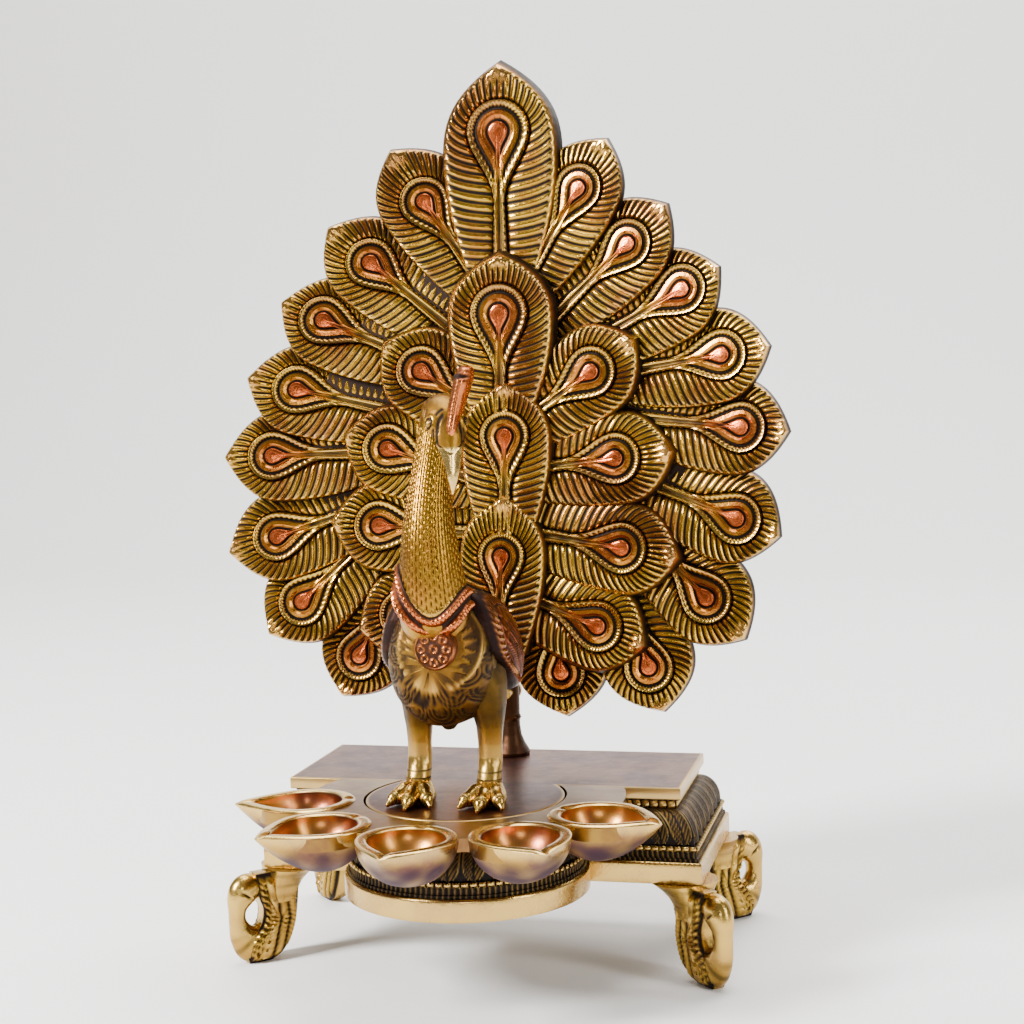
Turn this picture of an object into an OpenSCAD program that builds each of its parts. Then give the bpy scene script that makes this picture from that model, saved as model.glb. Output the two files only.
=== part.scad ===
// Brass peacock oil lamp: a footed stool, a tray of five wick cups, and a peacock with a spread tail.
// +X is the lamp's own left-to-right, -Y is its front, +Z is up, and the feet stand on z = 0.

/* [Stool] */
// Width of the top plate
plate_w = 150; // [120:1:190]
// Depth of the rectangular part of the top plate
plate_d = 59.4; // [50:0.1:75]
// Thickness of the top plate and of the tray web
plate_t = 4.5; // [3:0.1:6]
// Height of the plate's top face
plate_z = 68.5; // [64:0.5:80]
// Radius of the round tongue that the bird stands on
tongue_r = 35.9; // [31:0.1:42]
// How far the tongue's centre lies ahead of the plate's front edge
tongue_ahead = 20.6; // [15:0.1:25]
// Height of the underside of the smooth lower rim
rim_z = 35.2; // [30:0.1:36]
// Height of the smooth lower rim band
rim_h = 8; // [6:0.5:9]
// How far the rim stands out past the plate's edge
rim_out = 8.5; // [7:0.1:10]
// Wall of the stool casting
wall = 3.2; // [2.4:0.1:4]

/* [Feet] */
// Thickness of a foot's wing panel
foot_t = 10; // [8:0.5:12]
// Thickness of the swan's neck loop
loop_t = 8; // [6:0.5:9]

/* [Tray] */
// Distance from the tongue's centre to the tips of the three front cups
cup_reach = 87; // [82:1:95]
// Shortfall of the two outer cups
outer_short = 4; // [0:0.5:6]
// Angle between neighbouring cups
cup_step = 35.5; // [33:0.5:38]
// Turn of the whole ring of cups, as it was brazed on
cup_turn = -3; // [-4:0.5:4]
// Half width of a cup's opening, which is its depth too
cup_r = 14.3; // [12:0.1:16]
// Length of a cup's opening
cup_l = 35; // [30:0.5:38]
// Wall of a cup
cup_wall = 3; // [2:0.1:3.5]
// Open seam between the tongue and the tray
seam = 0.8; // [0.4:0.1:1.5]

/* [Bird] */
// Offset of the bird from the middle of the stool
bird_x = -4.5; // [-8:0.5:8]
// Distance between the two legs
leg_gap = 28.6; // [26:0.1:32]
// Height of the ankle seam above the plate
ankle_h = 8.5; // [7:0.5:10]
// Height of the middle of the body above the plate
body_up = 49.5; // [47:0.5:56]
// Half width of the body
body_w = 22; // [20:0.5:25]
// Half height of the body
body_h = 26; // [24:0.5:28]
// Thickness of a wing over the body
wing_t = 5; // [3:0.5:6]
// Distance of the legs behind the tongue's front edge
leg_in = 28.5; // [24:0.5:34]

/* [Fan] */
// Height of the middle of the fan
fan_z = 190; // [180:1:210]
// Reach of the top feather above the middle of the fan
fan_top = 150.5; // [135:0.5:165]
// Distance from the fan's middle to the feather eyes at its sides
eye_r = 93; // [85:1:100]
// Length of a feather beyond its eye
tip_l = 22; // [18:0.5:26]
// Width of an outer feather
feather_w = 38; // [34:0.5:44]
// Thickness of the outer feathers
fan_t = 4.5; // [3:0.1:6]
// Thickness of the raised inner feathers
inner_t = 6; // [4:0.5:8]
// Thickness of the centre feathers
centre_t = 9; // [7.5:0.5:11]
// Radius of the fan's dish about an upright axis in front of it
dish_r = 400; // [300:10:600]
// Backward lean of the fan
lean = 2.2; // [0:0.1:4]
// Distance of the strut's axis from the plate's rear edge
strut_in = 10; // [9:0.5:14]
// Radius of the strut
strut_r = 3.6; // [3:0.1:4.5]

/* [Fixings] */
// Radius of the studs and screws
stud_r = 2; // [1.5:0.1:2.2]
// Clearance round a stud in its hole
stud_clear = 0.25; // [0.15:0.05:0.4]
// Width across the corners of a nut, over the stud's diameter
nut_ratio = 1.9; // [1.7:0.1:2]
// Thickness of a nut
nut_t = 3.2; // [2.5:0.1:4]
// Thickness of a washer
washer_t = 0.8; // [0.5:0.1:1]

/* [Hidden] */
$fn = 64;

golden = [0.72, 0.53, 0.25];
bright = [0.85, 0.66, 0.34];
dark = [0.30, 0.22, 0.13];
mauve = [0.42, 0.28, 0.25];
copper = [0.72, 0.36, 0.24];
bird_tone = [0.52, 0.43, 0.18];

// Whole lamp: y = 0 is midway between the middle cup's tip and the rear swans.
foot_out = 14.8;
rim_x = plate_w / 2 + rim_out;
front_reach = tongue_ahead + cup_reach * cos(cup_turn);
rear_reach = plate_d + rim_out + (foot_out + loop_t / 2) * cos(45);
plate_y = (front_reach - rear_reach) / 2;
rear_y = plate_y + plate_d;
tongue_y = plate_y - tongue_ahead;
under_z = plate_z - plate_t;
hole_r = stud_r + stud_clear;
nut_r = stud_r * nut_ratio;

// Points shared by outlines and lofts
function mix(a, b, t) = a * (1 - t) + b * t;
function curve(p, i, t) = let(n = len(p), a = p[max(i - 1, 0)], b = p[i], c = p[i + 1],
    d = p[min(i + 2, n - 1)])
    0.5 * (2 * b + (c - a) * t + (2 * a - 5 * b + 4 * c - d) * t * t
    + (3 * b - a - 3 * c + d) * t * t * t);
function smooth(p, steps) = [for (i = [0:len(p) - 2], k = [0:steps - 1]) curve(p, i, k / steps),
    p[len(p) - 1]];
function turned(v) = [-v[1], v[0]] / norm(v);
function along(p, i) = p[min(i + 1, len(p) - 1)] - p[max(i - 1, 0)];
function xy(v) = [v[0], v[1]];
// Outline of a band that follows [x, y, half width] points
function band(p) = concat(
    [for (i = [0:len(p) - 1]) xy(p[i]) + p[i][2] * turned(xy(along(p, i)))],
    [for (i = [len(p) - 1:-1:0]) xy(p[i]) - p[i][2] * turned(xy(along(p, i)))]);

// A closed skin over rings that all have the same number of points
module loft(rings) {
    n = len(rings[0]);
    m = len(rings);
    sides = [for (i = [0:m - 2], k = [0:n - 1]) each [
        [i * n + k, (i + 1) * n + (k + 1) % n, (i + 1) * n + k],
        [i * n + k, i * n + (k + 1) % n, (i + 1) * n + (k + 1) % n]]];
    polyhedron([for (r = rings) each r],
        concat(sides, [[for (k = [n - 1:-1:0]) k], [for (k = [0:n - 1]) (m - 1) * n + k]]));
}

// Section along a tube in the upright plane through the bird: s = [y, z, half width, half depth]
function tube_ring(p, i, grow, sides) = let(s = p[i], d = xy(along(p, i)), v = turned(d))
    [for (k = [0:sides - 1]) let(a = 360 * k / sides)
        [bird_x + (s[2] + grow) * cos(a), s[0] + (s[3] + grow) * sin(a) * v[0],
        s[1] + (s[3] + grow) * sin(a) * v[1]]];
module tube(p, grow = 0, sides = 24) {
    loft([for (i = [0:len(p) - 1]) tube_ring(p, i, grow, sides)]);
}

// ---- Stool ----
cushion_z = rim_z + rim_h + 5.4;
cushion_top = under_z - 3.6;
cushion_out = rim_out - 3;
neck_out = -2.6;
cushion_steps = 6;
// Moulding from the rim up to the plate, as [distance past the plate's edge, height]
moulding = concat(
    [[rim_out, rim_z], [rim_out, rim_z + rim_h - 0.6], [rim_out - 0.6, rim_z + rim_h],
    [rim_out - 1.5, rim_z + rim_h], [rim_out - 1.5, rim_z + rim_h + 1.2],
    [rim_out - 2.3, rim_z + rim_h + 1.2], [rim_out - 2.3, rim_z + rim_h + 4],
    [rim_out - 2, rim_z + rim_h + 4], [rim_out - 2, cushion_z]],
    [for (k = [0:cushion_steps]) let(a = 90 * k / cushion_steps)
        [mix(neck_out, cushion_out, cos(a)), mix(cushion_z, cushion_top, sin(a))]],
    [[neck_out, under_z - 1.2], [neck_out + 1, under_z - 0.8], [neck_out + 1, under_z]]);
inner_out = neck_out - wall;
// Hollow under the plate: a plain shaft with a wider mouth inside the lower rim
hollow = [[rim_out - wall, rim_z - 1], [rim_out - wall, cushion_z], [inner_out, cushion_top - wall],
    [inner_out, under_z + 1]];

// Solid with the given side section on a rectangle of w by d that starts at y = 0
module mitred(section, w, d) {
    left = [for (p = section) [-w / 2 - p[0], p[1]]];
    right = [for (i = [len(section) - 1:-1:0]) [w / 2 + section[i][0], section[i][1]]];
    front = [for (p = section) [-p[0], p[1]]];
    back = [for (i = [len(section) - 1:-1:0]) [d + section[i][0], section[i][1]]];
    intersection() {
        translate([0, 2 * d, 0]) rotate([90, 0, 0]) linear_extrude(3 * d) polygon(concat(left, right));
        translate([-w, 0, 0]) rotate([90, 0, 90]) linear_extrude(2 * w) polygon(concat(front, back));
    }
}
module bowed(section, r) {
    first = section[0][1];
    last = section[len(section) - 1][1];
    rotate_extrude() polygon(concat([[0, first]], [for (p = section) [r + p[0], p[1]]], [[0, last]]));
}
module stool_block(section) {
    translate([0, plate_y, 0]) mitred(section, plate_w, plate_d);
    translate([0, tongue_y, 0]) bowed(section, tongue_r);
}

// Four corners, as [side, end, upright turn of the outward diagonal]
corners = [[-1, -1, 225], [1, -1, 315], [-1, 1, 135], [1, 1, 45]];
web_t = 3;
foot_stud = [-10, 0];
module at_corner(c) {
    translate([c[0] * rim_x, (c[1] < 0 ? plate_y - rim_out : rear_y + rim_out), 0])
        rotate([0, 0, c[2]]) children();
}
module corner_web(c) {
    web = 26;
    at_corner(c) translate([0, 0, rim_z]) linear_extrude(web_t)
        polygon([[-2, 0], [-web, web - 2], [-web, 2 - web]]);
}
// Lugs that take the plate's screws, inside the four upper corners
lug_in = 9;
lug_h = 6;
function lug(c) = [c[0] * (plate_w / 2 - lug_in), c[1] < 0 ? plate_y + lug_in : rear_y - lug_in];
module base_frame() {
    color(dark) difference() {
        union() {
            difference() {
                stool_block(moulding);
                stool_block(hollow);
            }
            for (c = corners) {
                corner_web(c);
                translate([lug(c)[0], lug(c)[1], under_z - lug_h])
                    translate([c[0] > 0 ? -5 : -lug_in, c[1] > 0 ? -5 : -lug_in, 0])
                        cube([lug_in + 5, lug_in + 5, lug_h]);
            }
        }
        for (c = corners) {
            at_corner(c) translate([foot_stud[0], 0, rim_z - 1]) cylinder(r = hole_r, h = web_t + 2);
            translate([lug(c)[0], lug(c)[1], under_z - lug_h - 1]) cylinder(r = hole_r, h = lug_h + 2);
        }
    }
}

// ---- Swan feet: the outline stands in the upright plane of the stool's diagonal ----
wing_edge = [[-12.5, rim_z - 3], [-12.2, 24], [-11, 15], [-8.5, 8], [-5, 2.6], [-0.5, 0]];
breast_edge = [[8.5, 0], [9, 7], [4, 10], [1, 14], [1.5, 20], [3.5, 25], [5, rim_z - 3]];
neck_line = [[3, 4.5, 4.8], [7.5, 5.6, 4.2], [10.6, 9.6, 3.6], [foot_out - 3.1, 15, 3],
    [foot_out - 3.2, 21, 3], [10.4, 27, 3.8], [8.2, 31.5, 3.2], [5, 33, 2.2]];
module swan_foot(c) {
    color(bright) at_corner(c) {
        intersection() {
            union() {
                rotate([90, 0, 0]) linear_extrude(foot_t, center = true)
                    polygon(concat(smooth(wing_edge, 4), smooth(breast_edge, 4)));
                rotate([90, 0, 0]) linear_extrude(loop_t, center = true)
                    polygon(band(smooth(neck_line, 4)));
            }
            translate([-30, -10, 0]) cube([60, 20, rim_z]);
        }
        hull() {
            translate([0, 0, rim_z - 1.5]) linear_extrude(1.5)
                polygon([[-0.8, 0], [-13, 12.2], [-17, 8], [-17, -8], [-13, -12.2]]);
            translate([-12, -foot_t / 2 - 0.2, rim_z - 12]) cube([12, foot_t + 0.4, 1]);
        }
        translate([foot_stud[0], 0, rim_z - 2]) cylinder(r = stud_r, h = web_t + nut_t + 3);
    }
}
module swan_foot_front_left() swan_foot(corners[0]);
module swan_foot_front_right() swan_foot(corners[1]);
module swan_foot_rear_left() swan_foot(corners[2]);
module swan_foot_rear_right() swan_foot(corners[3]);
module foot_nuts() {
    color(golden) for (c = corners)
        at_corner(c) translate([foot_stud[0], 0, rim_z + web_t]) nut();
}
module nut(bore = stud_r) {
    difference() {
        cylinder(r = nut_r * bore / stud_r, h = nut_t, $fn = 6);
        translate([0, 0, -1]) cylinder(r = bore, h = nut_t + 2);
    }
}

// ---- Top plate ----
leg_y = tongue_y - tongue_r + leg_in;
strut_y = rear_y - strut_in;
leg_sides = [-1, 1];
function leg_x(s) = bird_x + s * leg_gap / 2;
screw_depth = 3;
module top_plate() {
    color(mauve) difference() {
        translate([0, 0, under_z]) union() {
            translate([-plate_w / 2, plate_y, 0]) cube([plate_w, plate_d, plate_t]);
            translate([0, tongue_y, 0]) cylinder(r = tongue_r, h = plate_t, $fn = 96);
        }
        for (s = leg_sides)
            translate([leg_x(s), leg_y, under_z - 1]) cylinder(r = hole_r, h = plate_t + 2);
        translate([0, strut_y, under_z - 1]) cylinder(r = hole_r, h = plate_t + 2);
        for (c = corners)
            translate([lug(c)[0], lug(c)[1], under_z - 1]) cylinder(r = hole_r, h = screw_depth + 1);
    }
}
module plate_screws() {
    color(golden) for (c = corners) translate([lug(c)[0], lug(c)[1], under_z - lug_h]) {
        cylinder(r = stud_r, h = lug_h + screw_depth - 0.3);
        translate([0, 0, -2.4]) cylinder(r = nut_r, h = 2.4);
    }
}

// ---- Tray: five half teardrops of revolution under a flat web ----
cup_angles = [for (i = [-2:2]) i * cup_step + cup_turn];
function reach(i) = cup_reach - (abs(i - 2) == 2 ? outer_short : 0);
// Half outline of a cup, [distance from its tip, radius]: pointed outside and round inside
round_part = 0.42;
tear_steps = 8;
function tear(l, r) = concat(
    [for (k = [0:tear_steps]) let(t = k / tear_steps)
        [l * (1 - round_part) * t, r * (1 - pow(1 - t, 1.7))]],
    [for (k = [1:tear_steps]) let(a = 90 * k / tear_steps)
        [l * (1 - round_part) + l * round_part * sin(a), k < tear_steps ? r * cos(a) : 0]]);
module at_cup(i) {
    translate([0, tongue_y, plate_z]) rotate([0, 0, cup_angles[i] - 90])
        translate([reach(i), 0, 0]) rotate([0, 0, 180]) children();
}
module teardrop(l, r) {
    rotate([0, 90, 0]) rotate_extrude() polygon([for (p = tear(l, r)) [p[1], p[0]]]);
}
tip_wall = cup_wall * 1.8;
rim_l = cup_l + tip_wall + cup_wall;
rim_r = cup_r + cup_wall;
web_r = tongue_r + 22;
join_x = 64;
module tray_web() {
    translate([0, tongue_y, plate_z - plate_t]) linear_extrude(plate_t) difference() {
        union() {
            intersection() {
                circle(r = web_r, $fn = 96);
                translate([-join_x, -web_r]) square([2 * join_x, web_r + tongue_ahead]);
            }
            for (i = [0:4]) rotate([0, 0, cup_angles[i] - 90])
                translate([reach(i) - rim_l * (1 - round_part), 0]) circle(r = rim_r - 1);
        }
        circle(r = tongue_r + seam, $fn = 96);
        translate([-web_r * 2, tongue_ahead]) square([web_r * 4, web_r * 2]);
    }
}
module lamp_tray() {
    color(golden) difference() {
        union() {
            tray_web();
            intersection() {
                for (i = [0:4]) at_cup(i) teardrop(rim_l, rim_r);
                translate([0, tongue_y, plate_z - 60]) cylinder(r = cup_reach + 20, h = 60);
            }
        }
        for (i = [0:4]) at_cup(i) translate([tip_wall, 0, 0]) teardrop(cup_l, cup_r);
    }
}

// ---- Bird ----
body_z = plate_z + body_up;
breast_y = leg_y - 17;
// Body sections from breast to tail, as [y past the breast, rise, share of width, share of height]
body_rows = [[0, 2, 0.12, 0.12], [1, 2, 0.42, 0.42], [4, 1.5, 0.68, 0.70], [10, 1, 0.90, 0.92],
    [22, 0, 1, 1], [38, -1, 0.96, 0.94], [54, -2, 0.76, 0.72], [70, -3, 0.52, 0.50]];
tail_y = strut_y - strut_r - fan_t;
body_line = [for (r = body_rows) [breast_y + r[0], body_z + r[1], body_w * r[2], body_h * r[3]]];
module body_shape(grow = 0) {
    front = smooth([for (s = body_line) [s[0], s[1], s[2], s[3]]], 3);
    loft([for (s = front) [for (k = [0:31]) let(a = 360 * k / 32)
        [bird_x + (s[2] + grow) * cos(a), s[0] - (s[0] < breast_y + 3 ? grow : 0),
        s[1] + (s[3] + grow) * sin(a)]]]);
}
seat_z = body_z - 3;
seat_w = 2 * body_w * 0.52 - 2;
module bird_body() {
    color(bird_tone) difference() {
        union() {
            body_shape();
            hull() {
                translate([bird_x - seat_w / 2, breast_y + 60, seat_z - 9]) cube([seat_w, 2, 18]);
                translate([bird_x - seat_w / 2, seat_front - 2, seat_z - 9]) cube([seat_w, 2, 18]);
            }
        }
        translate([bird_x, seat_front - 14, seat_z]) rotate([-90, 0, 0]) cylinder(r = stud_r, h = 30);
    }
}

neck_rows = [[17, 1.5, 8, 7], [10, 8, 12.2, 12.5], [7, 20, 11.8, 13], [6, 36, 9.8, 10.5],
    [9.5, 54, 7.8, 8.2], [17, 70, 6.6, 6.8], [23, 79, 7, 7.6], [27, 87, 7.4, 8.2], [28.5, 93, 5, 5.6],
    [29, 95.5, 1.5, 1.5]];
neck_line_bird = smooth([for (r = neck_rows) [breast_y + r[0], body_z + 8 + r[1], r[2], r[3]]], 3);
head_at = [bird_x + 4, breast_y + 24, body_z + 90];
beak_rows = [[0, 0, 4.2, 4.4], [-6, -3, 3.6, 3.8], [-9.5, -9, 2.4, 2.5], [-10.5, -17, 0.7, 0.7]];
module neck_shape(grow = 0) {
    tube(neck_line_bird, grow);
}
module neck_and_head() {
    color(bird_tone) difference() {
        union() {
            neck_shape();
            translate([2, 0, 0]) tube([for (r = smooth(beak_rows, 3))
                [head_at[1] - 3 + r[0], head_at[2] - 3 + r[1], r[2], r[3]]], 0, 16);
        }
        body_shape();
    }
}
module crest_shape() {
    hull() {
        translate(head_at + [0, 0, 2]) scale([0.5, 1, 0.7]) sphere(r = 6, $fn = 24);
        translate(head_at + [2.5, 4, 12]) scale([0.5, 1, 0.6]) sphere(r = 6.5, $fn = 24);
    }
}
module head_crest() {
    color(copper) difference() {
        crest_shape();
        neck_shape();
    }
}
collar_tilt = 38;
module collar() {
    color(copper) difference() {
        intersection() {
            union() {
                neck_shape(2.4);
                body_shape(1.6);
            }
            translate([bird_x, breast_y + 14, body_z + 20]) rotate([collar_tilt, 0, 0])
                translate([-30, -40, -4]) cube([60, 64, 8]);
        }
        neck_shape();
        body_shape();
    }
}
module pendant() {
    color(copper) difference() {
        intersection() {
            translate([bird_x, breast_y + 10, body_z - 0.5]) rotate([90, 0, 0]) cylinder(r = 7, h = 20);
            body_shape(2.4);
        }
        body_shape();
        collar();
    }
}
// Wing outline seen from the side, [y past the breast, height over the body's middle]
wing_outline = [[12, 16], [16, 25], [28, 24], [42, 14], [54, -2], [60, -16], [52, -15], [38, -10],
    [24, -4], [14, 4]];
module wing(side) {
    color(mauve) difference() {
        intersection() {
            body_shape(wing_t);
            translate([bird_x + (side > 0 ? 6 : -6 - body_w * 2), breast_y, body_z])
                rotate([90, 0, 90]) linear_extrude(body_w * 2)
                    polygon(smooth(concat(wing_outline, [wing_outline[0]]), 3));
        }
        body_shape();
        neck_shape();
        collar();
    }
}
module wing_left() wing(-1);
module wing_right() wing(1);

ankle_r = 4.6;
thigh_r = 7.2;
module leg_shape(s) {
    translate([leg_x(s), leg_y, plate_z + ankle_h]) {
        cylinder(r1 = ankle_r, r2 = ankle_r + 0.8, h = 10);
        translate([0, 0, 10]) cylinder(r1 = ankle_r + 0.8, r2 = thigh_r, h = body_up - ankle_h - 10);
    }
}
module leg(s) {
    color(bright) difference() {
        leg_shape(s);
        body_shape();
    }
}
module leg_left() leg(-1);
module leg_right() leg(1);
toe_h = 3.2;
pad_r = 6;
// Toes as [turn from straight ahead, length]
toes = [[-28, 15], [0, 17], [28, 15], [180, 13]];
module claw(s) {
    color(bright) translate([leg_x(s), leg_y, plate_z]) {
        linear_extrude(toe_h) {
            circle(r = pad_r);
            for (t = toes)
                rotate(t[0]) polygon(band([[0, 0, 2.5], [0, -t[1] * 0.7, 1.9], [0, -t[1], 0.5]]));
        }
        translate([0, 0, toe_h]) cylinder(r1 = pad_r - 0.4, r2 = ankle_r, h = ankle_h - toe_h);
        translate([0, 0, -plate_t - washer_t - nut_t - 1.5])
            cylinder(r = stud_r, h = plate_t + washer_t + nut_t + 3);
    }
}
module claw_left() claw(-1);
module claw_right() claw(1);
module leg_washers() {
    color(golden) for (s = leg_sides) translate([leg_x(s), leg_y, under_z - washer_t]) difference() {
        cylinder(r = nut_r + 0.8, h = washer_t);
        translate([0, 0, -1]) cylinder(r = hole_r, h = washer_t + 2);
    }
}
module leg_nuts() {
    color(golden) for (s = leg_sides)
        translate([leg_x(s), leg_y, under_z - washer_t - nut_t]) nut();
}

// ---- Fan: x is across, z is up from the fan's middle, and y = 0 is the outer feathers' front ----
bottom_drop = fan_z - plate_z - 40;
fan_back = strut_y - strut_r;
fan_front = fan_back - fan_t;
module in_fan() {
    translate([0, fan_front, plate_z + 40]) rotate([-lean, 0, 0]) translate([0, 0, bottom_drop])
        children();
}
// Share of a feather's half width from its root (0) to its tip (1)
wide_at = 0.66;
function vane(t) = t < wide_at ? mix(0.42, 1, sin(90 * t / wide_at))
    : sqrt(1 - pow((t - wide_at) / (1.01 - wide_at), 2.4));
vane_steps = 12;
module feather(root, past, w) {
    l = root + past;
    edge = [for (k = [0:vane_steps]) let(t = k / vane_steps) [w / 2 * vane(t), -root + l * t]];
    polygon(concat(edge, [for (k = [vane_steps:-1:0]) [-edge[k][0], edge[k][1]]]));
}
module at_eye(r, turn, tilt) {
    rotate(-turn) translate([0, r]) rotate(-tilt) children();
}
// Outer feathers down one side, as [eye distance over eye_r, turn from the top, tilt outwards]
side_rows = [[9, 17.5, 12], [-2, 34, 14], [-1, 52, 12], [-3, 71, 8], [0, 89, 6], [4, 109, 2],
    [8, 126, 8], [10, 145, 12], [0, 167, 4]];
hub_r = 76;
module outer_outline() {
    circle(r = hub_r);
    translate([0, fan_top - 28.5]) feather(56, 28.5, feather_w + 10);
    for (side = [-1, 1], row = side_rows)
        scale([side, 1]) at_eye(eye_r + row[0], row[1], row[2]) feather(44, tip_l, feather_w);
}
inner_rows = [[45, 52, 6], [46, 95, -8], [62, 122, -14], [80, 152, -10]];
module inner_outline() {
    for (row = inner_rows) at_eye(row[0], row[1], row[2]) feather(34, 25, feather_w);
}
centre_rows = [[52, 44], [6, 38], [-42, 36]];
module centre_outline() {
    for (row = centre_rows) translate([0, row[0]]) feather(34, 26, row[1]);
}
// Curved sheet from depth y0 to y1 in front of the outer feathers' faces, cut to an outline
module dished(y0, y1) {
    intersection() {
        translate([0, dish_r, 0]) rotate([90, 0, 0]) linear_extrude(2 * dish_r) children();
        translate([0, -dish_r, -dish_r]) difference() {
            cylinder(r = dish_r + y1, h = 2 * dish_r, $fn = 180);
            translate([0, 0, -1]) cylinder(r = dish_r + y0, h = 2 * dish_r + 2, $fn = 180);
        }
    }
}
boss_h = 44;
boss_w = 16;
boss_t = 2.5;
boss_low = -104;
screw_rise = 32;
seat_rise = seat_z - fan_z;
seat_front = fan_front - 3.4;
bolt_t = 3;
module tail_seat() {
    translate([bird_x - seat_w / 2, seat_front, seat_z - 9]) cube([seat_w, 6, 18]);
}
module tail_hole(r) {
    translate([bird_x, seat_front - 1, seat_z]) rotate([-90, 0, 0]) cylinder(r = r, h = 30);
}
module fan_casting() {
    color(golden) difference() {
        union() {
            in_fan() {
                dished(0, fan_t) outer_outline();
                translate([-boss_w / 2, fan_t - 0.5, boss_low]) cube([boss_w, boss_t + 0.5, boss_h]);
            }
            tail_seat();
            translate([bird_x, fan_back - 1, seat_z]) rotate([-90, 0, 0]) cylinder(r = 8, h = 6);
        }
        in_fan() for (h = [8, screw_rise])
            translate([0, 0.8, boss_low + h]) rotate([-90, 0, 0]) cylinder(r = stud_r, h = 20);
        tail_hole(hole_r);
    }
}
module inner_feathers(side) {
    color(golden) difference() {
        in_fan() dished(-inner_t, 0) difference() {
            scale([side, 1]) inner_outline();
            offset(delta = 0.2) centre_outline();
            translate([side > 0 ? -100 : 0, -200]) square([100, 400]);
        }
        tail_seat();
        body_shape(0.4);
    }
}
module inner_feathers_left() inner_feathers(-1);
module inner_feathers_right() inner_feathers(1);
module centre_feathers() {
    color(golden) difference() {
        in_fan() dished(-centre_t, 0) centre_outline();
        tail_seat();
        translate([bird_x - seat_w / 2 - 0.5, seat_front - 30, seat_z - 9.5]) cube([seat_w + 1, 40, 19]);
        body_shape(0.6);
    }
}

// ---- Strut, its screw, and the fan's fixings ----
module rear_strut() {
    color(bright) difference() {
        union() {
            translate([0, strut_y, plate_z]) {
                rotate_extrude() polygon(concat([[0, 0], [7, 0], [7, 0.8]],
                    [for (k = [0:6]) let(a = 15 * k)
                        [7 - (7 - strut_r) * sin(a), 0.8 + 5 * (1 - cos(a))]], [[0, 6]]));
                cylinder(r = strut_r, h = 22);
            }
            in_fan() translate([-boss_w / 2 + 2, fan_t + boss_t, boss_low])
                cube([boss_w - 4, 4, boss_h]);
        }
        translate([0, strut_y, plate_z - 1]) cylinder(r = stud_r, h = 13);
        in_fan() for (h = [8, screw_rise])
            translate([0, 0, boss_low + h]) rotate([-90, 0, 0]) cylinder(r = hole_r, h = 20);
    }
}
module strut_screw() {
    color(golden) translate([0, strut_y, under_z]) {
        cylinder(r = stud_r, h = plate_t + 10);
        translate([0, 0, -2.2]) cylinder(r = nut_r * 0.84, h = 2.2);
    }
}
module fan_screws() {
    color(golden) in_fan() for (h = [8, screw_rise]) translate([0, 0, boss_low + h]) {
        translate([0, 1.2, 0]) rotate([-90, 0, 0]) cylinder(r = stud_r, h = fan_t + boss_t + 2.8);
        translate([0, fan_t + boss_t + 4, 0]) rotate([-90, 0, 0]) cylinder(r = nut_r, h = 2.2);
    }
}
module tail_bolt() {
    color(golden) translate([bird_x, 0, seat_z]) {
        translate([0, seat_front - 12, 0]) rotate([-90, 0, 0])
            cylinder(r = stud_r, h = fan_back + 5 - seat_front + 12 + 1);
        translate([0, fan_back + 5, 0]) rotate([-90, 0, 0]) cylinder(r = nut_r, h = bolt_t, $fn = 6);
    }
}

base_frame();
swan_foot_front_left();
swan_foot_front_right();
swan_foot_rear_left();
swan_foot_rear_right();
top_plate();
lamp_tray();
bird_body();
neck_and_head();
head_crest();
collar();
pendant();
wing_left();
wing_right();
leg_left();
leg_right();
claw_left();
claw_right();
rear_strut();
fan_casting();
inner_feathers_left();
inner_feathers_right();
centre_feathers();
plate_screws();
foot_nuts();
leg_washers();
leg_nuts();
strut_screw();
fan_screws();
tail_bolt();
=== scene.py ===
"""A cast brass table oil lamp: a peacock on a footed stool, with a tray of five wick cups."""

import math

import bmesh
import bpy
import numpy as np
from mathutils import Matrix, Vector


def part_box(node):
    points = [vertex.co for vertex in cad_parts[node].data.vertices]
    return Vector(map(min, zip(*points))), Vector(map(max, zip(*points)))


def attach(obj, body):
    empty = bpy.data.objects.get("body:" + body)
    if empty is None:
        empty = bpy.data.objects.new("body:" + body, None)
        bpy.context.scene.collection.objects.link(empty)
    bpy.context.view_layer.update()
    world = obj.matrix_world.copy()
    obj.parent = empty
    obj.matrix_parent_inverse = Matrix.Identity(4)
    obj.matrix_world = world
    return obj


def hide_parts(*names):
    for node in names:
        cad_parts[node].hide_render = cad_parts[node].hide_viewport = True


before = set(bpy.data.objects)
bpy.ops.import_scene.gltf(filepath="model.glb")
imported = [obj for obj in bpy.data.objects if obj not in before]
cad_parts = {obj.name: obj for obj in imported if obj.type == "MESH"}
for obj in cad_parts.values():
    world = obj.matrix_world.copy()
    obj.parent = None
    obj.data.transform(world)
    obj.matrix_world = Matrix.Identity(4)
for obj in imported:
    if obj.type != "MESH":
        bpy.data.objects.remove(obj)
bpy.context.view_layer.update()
MM = 0.001


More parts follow.
